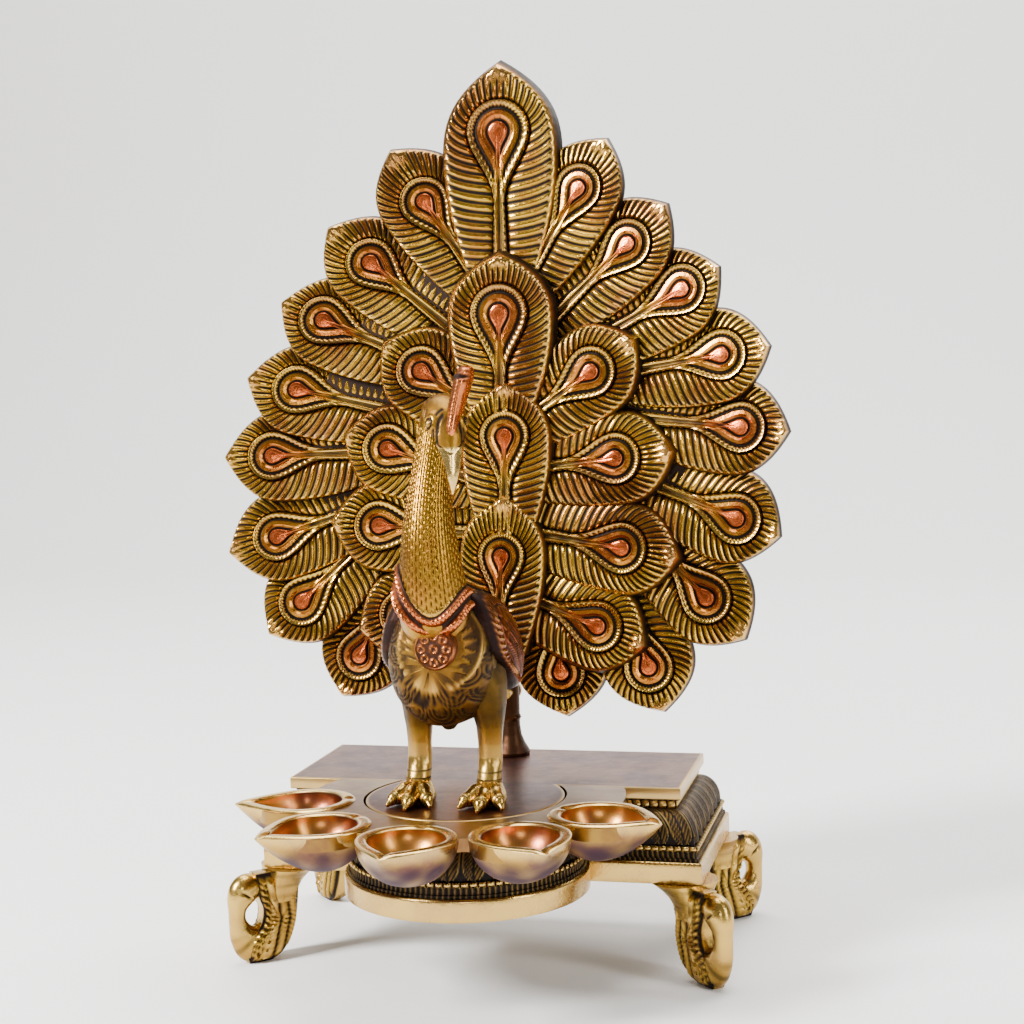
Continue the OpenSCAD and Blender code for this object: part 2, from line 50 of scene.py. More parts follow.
# ---- Stool frame ----
# The hollow stool that carries everything: a brushed rim, a waisted cushion of lotus petals and
# two rows of beads. One brass sand casting, its hollows left black and its high points buffed.
# It is a closed skin round the wall, drawn along the stool's outline: a plate with a round bow.
class Wire:
    """A socket inside a finish. Arithmetic on wires adds the Math nodes that it stands for."""

    def __init__(self, tree, socket):
        self.tree, self.socket = tree, socket

    def node(self, kind, settings=None, values=None, out=0):
        made = self.tree.nodes.new(kind)
        for key, value in (settings or {}).items():
            setattr(made, key, value)
        for key, value in (values or {}).items():
            if isinstance(value, Wire):
                self.tree.links.new(value.socket, made.inputs[key])
            else:
                made.inputs[key].default_value = value
        return Wire(self.tree, made.outputs[out])

    def maths(self, operation, *others):
        return self.node("ShaderNodeMath", {"operation": operation},
                         dict(enumerate((self, *others))))

    def __add__(self, other):
        return self.maths("ADD", other)

    def __sub__(self, other):
        return self.maths("SUBTRACT", other)

    def __mul__(self, other):
        return self.maths("MULTIPLY", other)

    def __rsub__(self, other):
        return self.node("ShaderNodeMath", {"operation": "SUBTRACT"}, {0: other, 1: self})

    __radd__, __rmul__ = __add__, __mul__

    def clamped(self, low, high):
        """0 below low and 1 above high, eased between."""
        return self.node("ShaderNodeMapRange", {"interpolation_type": "SMOOTHSTEP"},
                         {"Value": self, "From Min": low, "From Max": high})

    def blend(self, low, high):
        """Two colours mixed by this wire: all of the first at 0, all of the second at 1."""
        low, high = (end if isinstance(end, Wire) else (*end, 1) for end in (low, high))
        return self.node("ShaderNodeMix", {"data_type": "RGBA"}, {0: self, 6: low, 7: high},
                         out=2)


COPPER_TINT = (0.62, 0.13, 0.03)


def cast_brass(name, gold, patina, blush, shine=0.24, blush_share=0.5, worn=(0.95, 0.66, 0.22),
               grain=1.0, toned=True):
    """Brass with dark hollows, cloudy stains and buffed high points.

    The mesh's tone attribute says where: red is height, green is copper and blue is polish. A
    piece that isn't toned is high all over and takes only the clouds.
    """
    finish = bpy.data.materials.new(name)
    finish.use_nodes = True
    tree = finish.node_tree
    shader = tree.nodes["Principled BSDF"]
    start = Wire(tree, None)
    parts = start.node("ShaderNodeSeparateColor", values={"Color": (0.8, 0, 0.2, 1)})
    if toned:
        tone = start.node("ShaderNodeAttribute", {"attribute_name": "tone"})
        tree.links.new(tone.socket, parts.socket.node.inputs["Color"])
    height, copper, polish = (Wire(tree, out) for out in parts.socket.node.outputs)
    place = start.node("ShaderNodeTexCoord", out=3)

    def mottle(scale, detail, rough=0.55):
        return start.node("ShaderNodeTexNoise", values={
            "Vector": place, "Scale": scale, "Detail": detail, "Roughness": rough})

    cloud, stain, pits = mottle(38, 4), mottle(110, 5, 0.65), mottle(900, 3)
    raised = (height + (stain - 0.5) * 0.42).clamped(0.14, 0.76)
    stained = (cloud * 0.6 + stain * 0.4).clamped(0.42, 0.60) * blush_share
    face = copper.blend(stained.blend(gold, blush), COPPER_TINT)
    face = (polish * 0.8).blend(face, worn)
    colour = raised.blend(patina, face)
    tree.links.new(colour.socket, shader.inputs["Base Color"])
    tree.links.new((raised * 0.2 + 0.8).socket, shader.inputs["Metallic"])
    rough = shine + (1 - raised) * 0.3 + (stain - 0.5) * 0.22 - polish * 0.08
    tree.links.new(rough.socket, shader.inputs["Roughness"])
    skin = (pits * 0.5 + stain * 0.9 + mottle(260, 2) * 0.8) * grain
    bump = start.node("ShaderNodeBump", values={"Height": skin, "Strength": 0.32,
                                                "Distance": 0.0005})
    tree.links.new(bump.socket, shader.inputs["Normal"])
    return finish


def corners(mesh):
    """The places of a mesh's corners as three rows: x, y and z."""
    flat = np.empty(len(mesh.vertices) * 3)
    mesh.vertices.foreach_get("co", flat)
    return flat.reshape(-1, 3).T


def paint(mesh, tone):
    """Gives the corners of a mesh their tone: height, copper and polish, each from 0 to 1."""
    layer = mesh.attributes.new("tone", "FLOAT_COLOR", "POINT")
    shades = [np.clip(np.broadcast_to(t, len(mesh.vertices)), 0, 1) for t in (*tone, 1.0)]
    layer.data.foreach_set("color", np.stack(shades, 1).astype(np.float32).ravel())


def meshed(name, form):
    mesh = bpy.data.meshes.new(name)
    form.to_mesh(mesh)
    form.free()
    return mesh


def smoothed(mesh):
    """The mesh shaded smooth, with a crease wherever it turns by more than SHARP degrees."""
    mesh.shade_smooth()
    mesh.set_sharp_from_angle(angle=math.radians(SHARP))
    return mesh


SHARP, WELD = 38, 0.000004


def shaped(name, across, along, shape):
    """A grid of cells moved by shape(i, j), welded where its edges meet, with holes closed.

    shape returns places in millimetres and a tone (height, copper, polish) for each corner.
    """
    form = bmesh.new()
    bmesh.ops.create_grid(form, x_segments=across, y_segments=along, size=0.5)
    mesh = meshed(name, form)
    x, y, _ = corners(mesh)
    spot, tone = shape(np.rint((x + 0.5) * across), np.rint((y + 0.5) * along))
    mesh.vertices.foreach_set("co", (np.stack(spot, 1) * MM).astype(np.float32).ravel())
    paint(mesh, tone)
    form = bmesh.new()
    form.from_mesh(mesh)
    bmesh.ops.remove_doubles(form, verts=form.verts, dist=WELD)
    bmesh.ops.holes_fill(form, edges=[e for e in form.edges if e.is_boundary])
    bmesh.ops.recalc_face_normals(form, faces=form.faces)
    form.to_mesh(mesh)
    form.free()
    return smoothed(mesh)


def joined(name, meshes):
    """One mesh made of several."""
    form = bmesh.new()
    for part in meshes:
        form.from_mesh(part)
        bpy.data.meshes.remove(part)
    return smoothed(meshed(name, form))


def linked(name, data):
    """A new object in the scene, at the origin."""
    thing = bpy.data.objects.new(name, data)
    bpy.context.collection.objects.link(thing)
    return thing


def put(mesh, finish, slot, *nodes):
    """Makes the mesh a piece of the lamp that stands for some of the CAD's nodes."""
    piece = linked(mesh.name, mesh)
    mesh.materials.append(finish)
    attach(piece, "root")
    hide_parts(*nodes)


def line_through(points, count):
    """A smooth line through points, as count + 1 even steps along it. Extra columns follow."""
    p = np.array(points, float)
    ends = np.vstack([2 * p[0] - p[1], p, 2 * p[-1] - p[-2]])
    t = np.linspace(0, 1, 12, endpoint=False)[:, None]
    run = [0.5 * (2 * b + (c - a) * t + (2 * a - 5 * b + 4 * c - d) * t**2
                  + (3 * b - a - 3 * c + d) * t**3)
           for a, b, c, d in zip(ends, ends[1:], ends[2:], ends[3:])]
    return evened(np.vstack([*run, p[-1:]]), count)


def evened(points, count):
    """The same line in count + 1 even steps, measured along its first two columns."""
    p = np.array(points, float)
    far = np.concatenate([[0], np.cumsum(np.hypot(*np.diff(p[:, :2], axis=0).T))])
    steps = np.linspace(0, far[-1], count + 1)
    return np.stack([np.interp(steps, far, column) for column in p.T], 1)


def hill(x, half):
    """1 at x = 0, falling round to 0 at plus and minus half."""
    return np.sqrt(np.clip(1 - (x / half) ** 2, 0, 1))


def eased(x, low, high):
    """0 below low and 1 above high, with a soft start and stop."""
    t = np.clip((x - low) / (high - low), 0, 1)
    return t * t * (3 - 2 * t)


def peak(off, width):
    """1 where off is 0, fading away on both sides."""
    return np.exp(-(off / width) ** 2)


def wave(x):
    """A cosine between 0 and 1."""
    return 0.5 + 0.5 * np.cos(x)


def turned(i, around):
    """The angle of step i of a full turn in so many steps."""
    return i / around * 2 * math.pi


plate_low, plate_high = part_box("top_plate")
PLATE_W = (plate_high.x - plate_low.x) / MM
REAR_Y = plate_high.y / MM
UNDER_Z, PLATE_Z = plate_low.z / MM, plate_high.z / MM
BOW_R = 35.9
BOW_Y = plate_low.y / MM + BOW_R
BOW_AHEAD = 20.6
PLATE_Y = BOW_Y + BOW_AHEAD
RIM_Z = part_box("base_frame")[0].z / MM
RIM_OUT, RIM_H = 8.5, 8
CUSHION_FOOT, CUSHION_H = 13.4, 11.8
RIM, LOWER_BEADS, CUSHION, UPPER_BEADS, FILLETS, INSIDE = range(6)
SIDE_PETALS = (18, 7, 5, 18, 5, 7)
PETAL_STEPS = 18


def stool_line(petals, out):
    """The stool's outline at some distance past its plate, petals counted from a rear corner."""
    half = PLATE_W / 2 + out
    back, front = REAR_Y + out, PLATE_Y - out
    bow = BOW_R + out
    join = np.sqrt(bow**2 - (front - BOW_Y) ** 2)
    swing = np.arctan2(join, -(front - BOW_Y))
    starts = np.concatenate([[0], np.cumsum(SIDE_PETALS)])
    side = np.clip(np.searchsorted(starts, petals, "right") - 1, 0, 5)
    t = (petals - starts[side]) / np.array(SIDE_PETALS)[side]
    turn = swing * (2 * t - 1)
    x = np.choose(side, [half - 2 * half * t, -half, -half + (half - join) * t,
                         bow * np.sin(turn), join + (half - join) * t, half])
    y = np.choose(side, [back, back + (front - back) * t, front,
                         BOW_Y - bow * np.cos(turn), front, front + (back - front) * t])
    return x, y


def moulding_rows():
    """Rows round the stool's wall: [out past the plate, height, which part it belongs to]."""
    z = RIM_Z
    cushion = [(-2.6 + 8.1 * math.cos(a), z + CUSHION_FOOT + CUSHION_H * math.sin(a), CUSHION)
               for a in np.linspace(0, math.pi / 2, 22)]
    lower = [(6.3 + 0.1 * i / 5, z + 11.9 + 1.6 * i / 5, LOWER_BEADS) for i in range(6)]
    upper = [(-2.3, UNDER_Z - 3.3 + 2.3 * i / 5, UPPER_BEADS) for i in range(6)]
    rim = [(out, z + up, RIM) for out, up in (
        (5.3, 0), (7.9, 0), (8.4, 0.15), (RIM_OUT, 0.6), (RIM_OUT, 2.4), (RIM_OUT, 5),
        (RIM_OUT, 7), (8.35, 7.6), (7.9, RIM_H))]
    steps = [(out, z + up, FILLETS) for out, up in (
        (7, 8.05), (6.9, 9.1), (6.3, 9.3), (6.1, 10.2), (6.1, 11.4))]
    top = [(-1.8, UNDER_Z - 0.7, FILLETS), (-1.6, UNDER_Z, FILLETS), (-5.8, UNDER_Z, INSIDE),
           *((out, z + up, INSIDE) for out, up in (
               (-5.8, 22), (5.3 - 1.2, CUSHION_FOOT), (5.3, 9), (5.3, 0)))]
    return np.array(rim + steps + lower + cushion + upper + top)


MOULDING = moulding_rows()


def stool_skin(i, j):
    row = MOULDING[j.astype(int)]
    out, z, part = row[:, 0].copy(), row[:, 1].copy(), row[:, 2]
    petals = (i / PETAL_STEPS) % sum(SIDE_PETALS)
    across = 2 * (petals % 1) - 1
    rise = np.clip((z - RIM_Z - CUSHION_FOOT) / CUSHION_H, 0, 1)
    # Front petals with a rounded tip at the foot, a midrib and a raised hem
    width = np.clip(1.02 * (1 - (1 - np.clip(rise / 0.6, 0, 1)) ** 2.4), 0.02, 1) ** 0.5
    inside = 1 - np.abs(across) / width
    body = hill(across, width * 1.02) * (inside > 0)
    hem = peak(inside - 0.14, 0.08) * (inside > 0)
    rib = peak(across, 0.07)
    behind = (inside <= 0) * hill(1 - np.abs(across), 0.55) * 0.45
    veins = 0.16 * np.sin((rise * 9 + np.abs(across) * 3.2) * 2 * math.pi) * (inside > 0.25)
    swell = (part == CUSHION) * (1.15 * body + 0.35 * hem - 0.3 * rib * body + behind + veins - 0.5)
    swell *= 1 - eased(rise, 0.93, 1)
    bead = hill(((petals * 3) % 1) * 2 - 1, 0.92)
    for number in (LOWER_BEADS, UPPER_BEADS):
        rows = np.flatnonzero(MOULDING[:, 2] == number)
        spread = (j - rows.mean()) / (len(rows) / 2)
        swell += (part == number) * (1.25 * bead * hill(spread, 1.05) - 0.35)
    milled = wave(i * math.pi / 2)
    swell += (part == FILLETS) * (z < RIM_Z + 12) * (0.5 * milled - 0.3)
    lean = np.where(part == CUSHION, math.pi / 2 * rise, 0)
    out, z = out + swell * np.cos(lean), z + swell * np.sin(lean) * 0.6
    x, y = stool_line(petals, out)
    petal_height = np.clip(0.3 * body + 0.28 * hem - 0.4 * rib + veins, 0, 1)
    height = np.select([part == n for n in range(INSIDE)],
                       [0.8, 0.1 + 0.7 * bead, petal_height, 0.05 + 0.7 * bead, 0.4 * milled],
                       0.05)
    polish = np.select([part == RIM, part == CUSHION], [0.45, np.clip(hem * body, 0, 0.4)], 0.1)
    polish = np.where((part == LOWER_BEADS) | (part == UPPER_BEADS), bead * 0.5, polish)
    return (x, y, z), (height, 0, polish)


black_brass = cast_brass("black_brass", gold=(0.34, 0.19, 0.03), patina=(0.007, 0.004, 0.003),
                         blush=(0.16, 0.06, 0.025), shine=0.3, blush_share=0.6)
stool_mesh = shaped("stool", sum(SIDE_PETALS) * PETAL_STEPS, len(MOULDING) - 1, stool_skin)
put(stool_mesh, black_brass, "dark_brass", "base_frame")


# ---- Swan feet ----
# Four small swans stand under the stool's corners and face outwards: a wing panel with carved
# feathers, a neck that loops down to the breast, and an apron under the rim. Bright cast brass,
# dark in the carving. A stud up through each apron is held by a nut on the stool's corner web.
def tube_rows(points, steps, blunt=0.25):
    """Places and half sizes down a tube, eased to a point at both ends: [.., half a, half b]."""
    rows = line_through(points, steps)
    ends = []
    for edge, inner in ((rows[0], rows[1]), (rows[-1], rows[-2])):
        cap = np.tile(edge, (4, 1))
        share = np.array([0.0, 0.45, 0.75, 0.93])
        cap[:, -2:] *= share[:, None]
        way = (edge[:2] - inner[:2]) / np.hypot(*(edge[:2] - inner[:2]))
        cap[:, :2] += way * (np.sqrt(1 - share**2) * blunt * edge[-1])[:, None]
        ends.append(cap)
    return np.vstack([ends[0], rows, ends[1][::-1]])


def tube_at(rows, i, j, around):
    """Place on a tube in the plane of its first two columns, and the side that it lies on."""
    slope = np.gradient(rows[:, :2], axis=0)
    slope /= np.hypot(*slope.T)[:, None]
    row, way = rows[j.astype(int)], slope[j.astype(int)]
    angle = turned(i, around)
    side, up = row[:, -2] * np.cos(angle), row[:, -1] * np.sin(angle)
    return row[:, 0] - way[:, 1] * up, row[:, 1] + way[:, 0] * up, side, angle


FOOT_H = RIM_Z
FOOT_THICK = 4.9
FOOT_STEPS, NECK_LOOP_STEPS, APRON_STEPS, STUD_STEPS = 168, 28, 56, 20
wing_side = [(-12.5, FOOT_H - 1), (-12.2, 24), (-11, 15), (-8.5, 8), (-5, 2.6), (-0.5, 0)]
breast_side = [(8.5, 0), (9.6, 5), (7.4, 9.8), (3.4, 14), (2.2, 20), (3.8, 25), (5, FOOT_H - 1)]
foot_edge = evened([*line_through(wing_side, 30), *line_through(breast_side, 40),
                    wing_side[0]], FOOT_STEPS)
FOOT_MIDDLE = np.array([-4.2, 15])
FOOT_ROWS = np.array([*((r, 1) for r in np.linspace(0, 0.9, 15)), (0.955, 0.93), (0.985, 0.78),
                      (1, 0.5), (1, 0), (1, -0.5), (0.985, -0.78), (0.955, -0.93),
                      *((r, -1) for r in np.linspace(0.9, 0, 15))])


def foot_panel(i, j):
    row = FOOT_ROWS[j.astype(int)]
    edge = foot_edge[i.astype(int) % FOOT_STEPS]
    u, z = (FOOT_MIDDLE + (edge - FOOT_MIDDLE) * row[:, :1]).T
    share = row[:, 0]
    spine = np.interp(z, [0, 8, 16, 24, FOOT_H], [4, 1.2, -1.6, -1.2, 0.5])
    inner = (spine - u) / 9.5
    long_feathers = np.abs(np.sin((inner * 2.6 + (z - 4) * 0.02) * math.pi))
    barbs = 0.5 + 0.5 * np.sin((z * 0.62 + inner * 1.7) * 2 * math.pi)
    ribs = wave(z / 1.5 * 2 * math.pi)
    on_spine = peak(u - spine, 1.25)
    breast = eased(u, spine + 1.2, spine + 2.4)
    arcs = np.abs(np.sin(np.hypot(u - 10.5, z + 1) / 2.3 * math.pi))
    carved = (1 - breast) * (0.75 * long_feathers + 0.25 * barbs) + breast * arcs
    carved = carved * (1 - on_spine) + on_spine * (0.6 + 0.6 * ribs)
    carved *= 1 - eased(share, 0.88, 0.95)
    face, side = np.abs(row[:, 1]) > 0.6, np.abs(row[:, 1]) < 0.6
    relief = np.where(face, 1.35 * carved - 0.55 * eased(share, 0.86, 0.93)
                      * (1 - eased(share, 0.95, 0.99)), 0)
    w = row[:, 1] * (FOOT_THICK - 0.7) + np.sign(row[:, 1]) * relief
    w *= np.interp(z, [0, 6, 20, FOOT_H], [0.8, 1.0, 0.92, 1.05])
    height = np.where(face, 0.05 + 0.75 * carved, 0.7)
    return (u, w, np.maximum(z, 0)), (height, 0, 0.4 * on_spine * ribs + 0.2 * side)


neck_rows = tube_rows([(1.6, 7.0, 4.7, 6.8), (6.4, 7.6, 4.7, 7.4), (10.0, 11.2, 4.2, 5.2),
                       (11.7, 16, 3.6, 3.4), (11.8, 20.4, 3.7, 3.3), (10.8, 24.4, 4.5, 4.8),
                       (8.2, 28.2, 4.8, 5.9), (3.6, 29.2, 3.6, 4.6)], 46)


def foot_neck(i, j):
    u, z, w, _ = tube_at(neck_rows, i, j, NECK_LOOP_STEPS)
    beak = peak(z - 26.2 - (u - 8.4) * 0.9, 0.55) * (u > 7.5)
    eye = np.exp(-(((u - 10.2) / 0.7) ** 2 + ((z - 29.4) / 0.7) ** 2))
    w = w * (1 - 0.16 * beak) + np.sign(w) * 0.7 * eye
    scales = wave(j * 1.3)
    low = eased(-z, -13, -8)
    return (u, w * (1 - 0.05 * scales * low), np.maximum(z, 0)), (
        np.clip(0.72 - 0.7 * beak - 0.35 * low * scales, 0, 1), 0, 0.3 - 0.2 * low)


def foot_apron(i, j):
    rise = np.clip((j - 2) / 14, 0, 1)
    size = np.interp(j, [0, 1, 2, 16, 17, 18], [0, 0.85, 1, 1, 0.97, 0])
    flare = rise**2.2
    angle = turned(i, APRON_STEPS)
    round_in = 1 / (np.abs(np.cos(angle)) ** 3.4 + np.abs(np.sin(angle)) ** 3.4) ** (1 / 3.4)
    u = -6.5 - 2.8 * flare + size * (5.6 + 2.9 * flare) * round_in * np.cos(angle)
    w = size * (5.0 + 7.8 * flare) * round_in * np.sin(angle) * (1 - 0.25 * flare * (
        np.cos(angle) > 0) * np.cos(angle))
    z = FOOT_H - 13 + 13 * rise
    rings = wave(rise * 2 * math.pi * 3)
    return (u, w, z), (0.5 + 0.3 * rings, 0, 0.2)


def foot_stud(i, j):
    size = np.interp(j, [0, 1, 6, 7], [0, 2, 2, 0])
    angle = turned(i, STUD_STEPS)
    return (-10 + size * np.cos(angle), size * np.sin(angle),
            FOOT_H - 2 + np.interp(j, [0, 1, 6, 7], [0, 0, 9.2, 9.2])), (0.7, 0, 0.3)


bright_cast = cast_brass("bright_cast_brass", gold=(0.48, 0.29, 0.04), patina=(0.012, 0.006, 0.003),
                         blush=(0.30, 0.14, 0.03), shine=0.27, blush_share=0.6)
rim_corner_x = PLATE_W / 2 + RIM_OUT
for foot, out_x, out_y, turn in (("front_left", -1, -1, 225), ("front_right", 1, -1, 315),
                                 ("rear_left", -1, 1, 135), ("rear_right", 1, 1, 45)):
    swan = joined("swan_" + foot, [
        shaped("panel", FOOT_STEPS, len(FOOT_ROWS) - 1, foot_panel),
        shaped("neck", NECK_LOOP_STEPS, len(neck_rows) - 1, foot_neck),
        shaped("apron", APRON_STEPS, 18, foot_apron), shaped("stud", STUD_STEPS, 7, foot_stud)])
    rim_corner_y = PLATE_Y - RIM_OUT if out_y < 0 else REAR_Y + RIM_OUT
    corner = Vector((out_x * rim_corner_x, rim_corner_y, 0)) * MM
    swan.transform(Matrix.Translation(corner) @ Matrix.Rotation(math.radians(turn), 4, "Z"))
    put(swan, bright_cast, "bright_brass", "swan_foot_" + foot)


# ---- Top plate ----
# A flat brass plate with a round bow at the front, screwed down on the stool. It is hand polished,
# with a mauve-brown tarnish over the flat and a bright edge where the polishing cloth catches it.
def painted(mesh, tone):
    """Paints a mesh afresh, from a function of each corner's place in millimetres."""
    old = mesh.attributes.get("tone")
    if old:
        mesh.attributes.remove(old)
    paint(mesh, tone(*(corners(mesh) / MM)))
    return mesh


def draw_up(form, ring, depth):
    """Closes a ring of corners with a face and draws it up into a block."""
    block = bmesh.ops.extrude_face_region(form, geom=[form.faces.new(ring)])["geom"]
    bmesh.ops.translate(form, vec=(0, 0, depth * MM),
                        verts=[v for v in block if isinstance(v, bmesh.types.BMVert)])
    bmesh.ops.recalc_face_normals(form, faces=form.faces)


EDGE_ROUND = 0.5
EDGE_INSET = 0.9
# The outline's steps: its corners, and an eighth of a petal at a time round the bow
steps = np.arange(0, sum(SIDE_PETALS), 0.125)
bow_from = sum(SIDE_PETALS[:3])
on_bow = (steps > bow_from) & (steps < bow_from + SIDE_PETALS[3])
steps = steps[np.isin(steps, np.cumsum((0, *SIDE_PETALS))) | on_bow]
plate_form = bmesh.new()
draw_up(plate_form, [plate_form.verts.new((x * MM, y * MM, UNDER_Z * MM))
                     for x, y in zip(*stool_line(steps, np.zeros(len(steps))))],
        PLATE_Z - UNDER_Z)
rims = [e for e in plate_form.edges if e.verts[0].co.z == e.verts[1].co.z]
bmesh.ops.bevel(plate_form, geom=rims, offset=EDGE_ROUND * MM, affect="EDGES", segments=3,
                profile=0.5, material=-1)
tops = [f for f in plate_form.faces if f.normal.z > 0.99]
bmesh.ops.inset_region(plate_form, faces=tops, thickness=EDGE_INSET * MM, use_even_offset=True)
plate_mesh = smoothed(meshed("plate", plate_form))


def plate_tone(x, y, z):
    bow = np.hypot(x, y - BOW_Y) < BOW_R - 1
    slab = (np.abs(x) < PLATE_W / 2 - 1) & (y > PLATE_Y + 1) & (y < REAR_Y - 1)
    return 0.8, 0, np.where(bow | slab, 0.0, 0.55)


polished_plate = cast_brass("polished_plate", gold=(0.15, 0.055, 0.026), patina=(0.05, 0.02, 0.015),
                            blush=(0.085, 0.03, 0.026), shine=0.36, blush_share=0.95, grain=0.4)
put(painted(plate_mesh, plate_tone), polished_plate, "plate_brass", "top_plate")


# ---- Wick cup tray ----
# Five leaf-shaped cups for oil and wicks, cast in one piece with the flat web that wraps the bow.
# Their rims are thick lips of bright brass; inside, the oil has left them glossy and coppery.
TEAR_ROUND = 0.42
CUP_REACH, CUP_L, CUP_R, CUP_DEEP = 87, 32.6, 13.2, 0.9
TIP_WALL, RIM_L, RIM_R = 6, 43.4, 17.3
CUP_STEP, CUP_TURN, OUTER_SHORT = 35.5, -3, 4
CUP_TURNS = [CUP_STEP * n + CUP_TURN for n in range(-2, 3)]
CUP_REACHES = [CUP_REACH - (OUTER_SHORT if n in (0, 4) else 0) for n in range(5)]
CUP_ALONG, CUP_BOWL, CUP_LIP = 44, 26, 8


def tear(t, length, radius):
    """Distance from the tip and half width of a leaf: pointed at 0 and round at 1."""
    point = np.clip(t / 0.55, 0, 1)
    swing = np.clip((t - 0.55) / 0.45, 0, 1) * math.pi / 2
    far = length * ((1 - TEAR_ROUND) * point + TEAR_ROUND * np.sin(swing))
    wide = np.where(t < 0.55, 1 - (1 - point) ** 1.7, np.cos(swing))
    return far, radius * np.where(t >= 1, 0, wide)


def cup_skin(reach, turn):
    loop = 2 * (CUP_BOWL + CUP_LIP)

    def skin(i, j):
        t = j / CUP_ALONG
        step = i % loop
        outer_far, outer_r = tear(t, RIM_L, RIM_R)
        inner_far, inner_r = tear(t, CUP_L, CUP_R)
        inner_far = inner_far + TIP_WALL
        inside = (step >= CUP_BOWL + CUP_LIP) & (step <= 2 * CUP_BOWL + CUP_LIP)
        outside = step <= CUP_BOWL
        lip = np.where(step < CUP_BOWL + CUP_LIP, (step - CUP_BOWL) / CUP_LIP,
                       1 - (step - 2 * CUP_BOWL - CUP_LIP) / CUP_LIP)
        lip = np.where(outside, 0, np.where(inside, 1, lip))
        far = outer_far + (inner_far - outer_far) * lip
        radius = outer_r + (inner_r - outer_r) * lip
        swing = np.where(outside, step / CUP_BOWL,
                         np.where(inside, 1 - (step - CUP_BOWL - CUP_LIP) / CUP_BOWL,
                                  (step < CUP_BOWL + CUP_LIP) * 1.0)) * math.pi
        across, drop = radius * np.cos(swing), CUP_DEEP * radius * np.sin(swing)
        crown = np.sin(lip * math.pi) ** 0.3 * (0.7 + 0.3 * eased(-t, -0.35, 0))
        lift = np.where(outside | inside, 0, crown) * eased(np.minimum(t, 1 - t), -0.02, 0.05)
        way = reach - far
        angle = math.radians(turn)
        x = math.sin(angle) * way + math.cos(angle) * across
        y = BOW_Y - math.cos(angle) * way + math.sin(angle) * across
        blotch = 0.5 + 0.25 * np.sin(far * 0.55 + across * 0.31) + 0.25 * np.sin(
            far * 0.23 - across * 0.47 + turn)
        stain = 0.8 - outside * (0.3 + 0.45 * blotch) * eased(drop, 1, 9)
        return (x, y, PLATE_Z + 0.2 + lift - drop), (
            np.where(inside, 0.75 - 0.35 * eased(drop, 6, 12), stain),
            np.where(inside & (drop > 0.5), 0.3, 0.0),
            np.where(outside, 0.5 * (1 - eased(drop, 0, 5)), 0.9 * (1 - inside)))

    return shaped("cup", loop, CUP_ALONG, skin)


WEB_WIDE, SEAM, WEB_STEPS, WEB_SWING = 22, 0.8, 240, 112
WEB_R, BOW_SEAM = BOW_R + WEB_WIDE, BOW_R + SEAM
WEB_ROWS = [(0, 0), (0, 1), *((r, 2) for r in np.linspace(0, 1, 9)), (1, 1), (1, 0),
            *((r, 0) for r in np.linspace(0.9, 0, 3))]


def web_skin(i, j):
    share, level = np.array(WEB_ROWS).T[:, j.astype(int)]
    swing = 2 * i / WEB_STEPS - 1
    edge = WEB_R
    turns = swing * WEB_SWING
    for turn, reach in zip(CUP_TURNS, CUP_REACHES):
        far = reach - RIM_L * (1 - TEAR_ROUND)
        off = np.radians(turns - turn)
        hit = (RIM_R - 1.2) ** 2 - (far * np.sin(off)) ** 2
        edge = np.maximum(edge, far * np.cos(off) + np.sqrt(np.clip(hit, 0, None)) * (hit > 0)
                          * (np.abs(off) < 1))
    radius = BOW_SEAM + (edge - BOW_SEAM) * share
    angle = swing * np.arccos(np.clip(-(PLATE_Y - BOW_Y) / radius, -1, 1))
    z = np.choose(level.astype(int), [UNDER_Z, PLATE_Z - EDGE_ROUND, PLATE_Z])
    return (radius * np.sin(angle), BOW_Y - radius * np.cos(angle), z), (0.62, 0, 0.1)


def cutter(reach, turn):
    """The space inside one cup, as a leaf-shaped block that opens the web over it."""
    form = bmesh.new()
    half = np.stack(tear(np.linspace(0, 1, 30), RIM_L - 3, RIM_R - 1.8), 1) + (1.6, 0)
    edge = [(far, wide) for far, wide in half] + [(far, -wide) for far, wide in half[-2:0:-1]]
    angle = math.radians(turn)
    draw_up(form, [form.verts.new((
        (math.sin(angle) * (reach - far) + math.cos(angle) * wide) * MM,
        (BOW_Y - math.cos(angle) * (reach - far) + math.sin(angle) * wide) * MM,
        (UNDER_Z - 5) * MM)) for far, wide in edge], 15)
    return meshed("cutter", form)


def cut(mesh, cutters):
    """The mesh less each cutter."""
    body = linked("cut", mesh)
    tools = [linked("tool", shape) for shape in cutters]
    for tool in tools:
        step = body.modifiers.new("cut", "BOOLEAN")
        step.operation, step.object, step.solver = "DIFFERENCE", tool, "EXACT"
    view = bpy.context.evaluated_depsgraph_get()
    done = bpy.data.meshes.new_from_object(body.evaluated_get(view))
    for spare in (body, *tools):
        bpy.data.objects.remove(spare)
    done.name = mesh.name
    return done


web_mesh = cut(shaped("web", WEB_STEPS, len(WEB_ROWS) - 1, web_skin),
               [cutter(reach, turn) for turn, reach in zip(CUP_TURNS, CUP_REACHES)])
tray_brass = cast_brass("tray_brass", gold=(0.40, 0.23, 0.045), patina=(0.05, 0.02, 0.032),
                        blush=(0.13, 0.05, 0.045), shine=0.3, blush_share=0.9, grain=0.35)
web_brass = cast_brass("web_brass", gold=(0.26, 0.14, 0.025), patina=(0.05, 0.025, 0.015),
                       blush=(0.13, 0.05, 0.03), shine=0.3, blush_share=0.8, grain=0.5)
web_mesh.materials.clear()
put(painted(web_mesh, lambda x, y, z: (0.7, 0, 0.05)), web_brass, "brass", "lamp_tray")
put(joined("cups", [cup_skin(reach, turn) for turn, reach in zip(CUP_TURNS, CUP_REACHES)]),
    tray_brass, "brass", "lamp_tray")


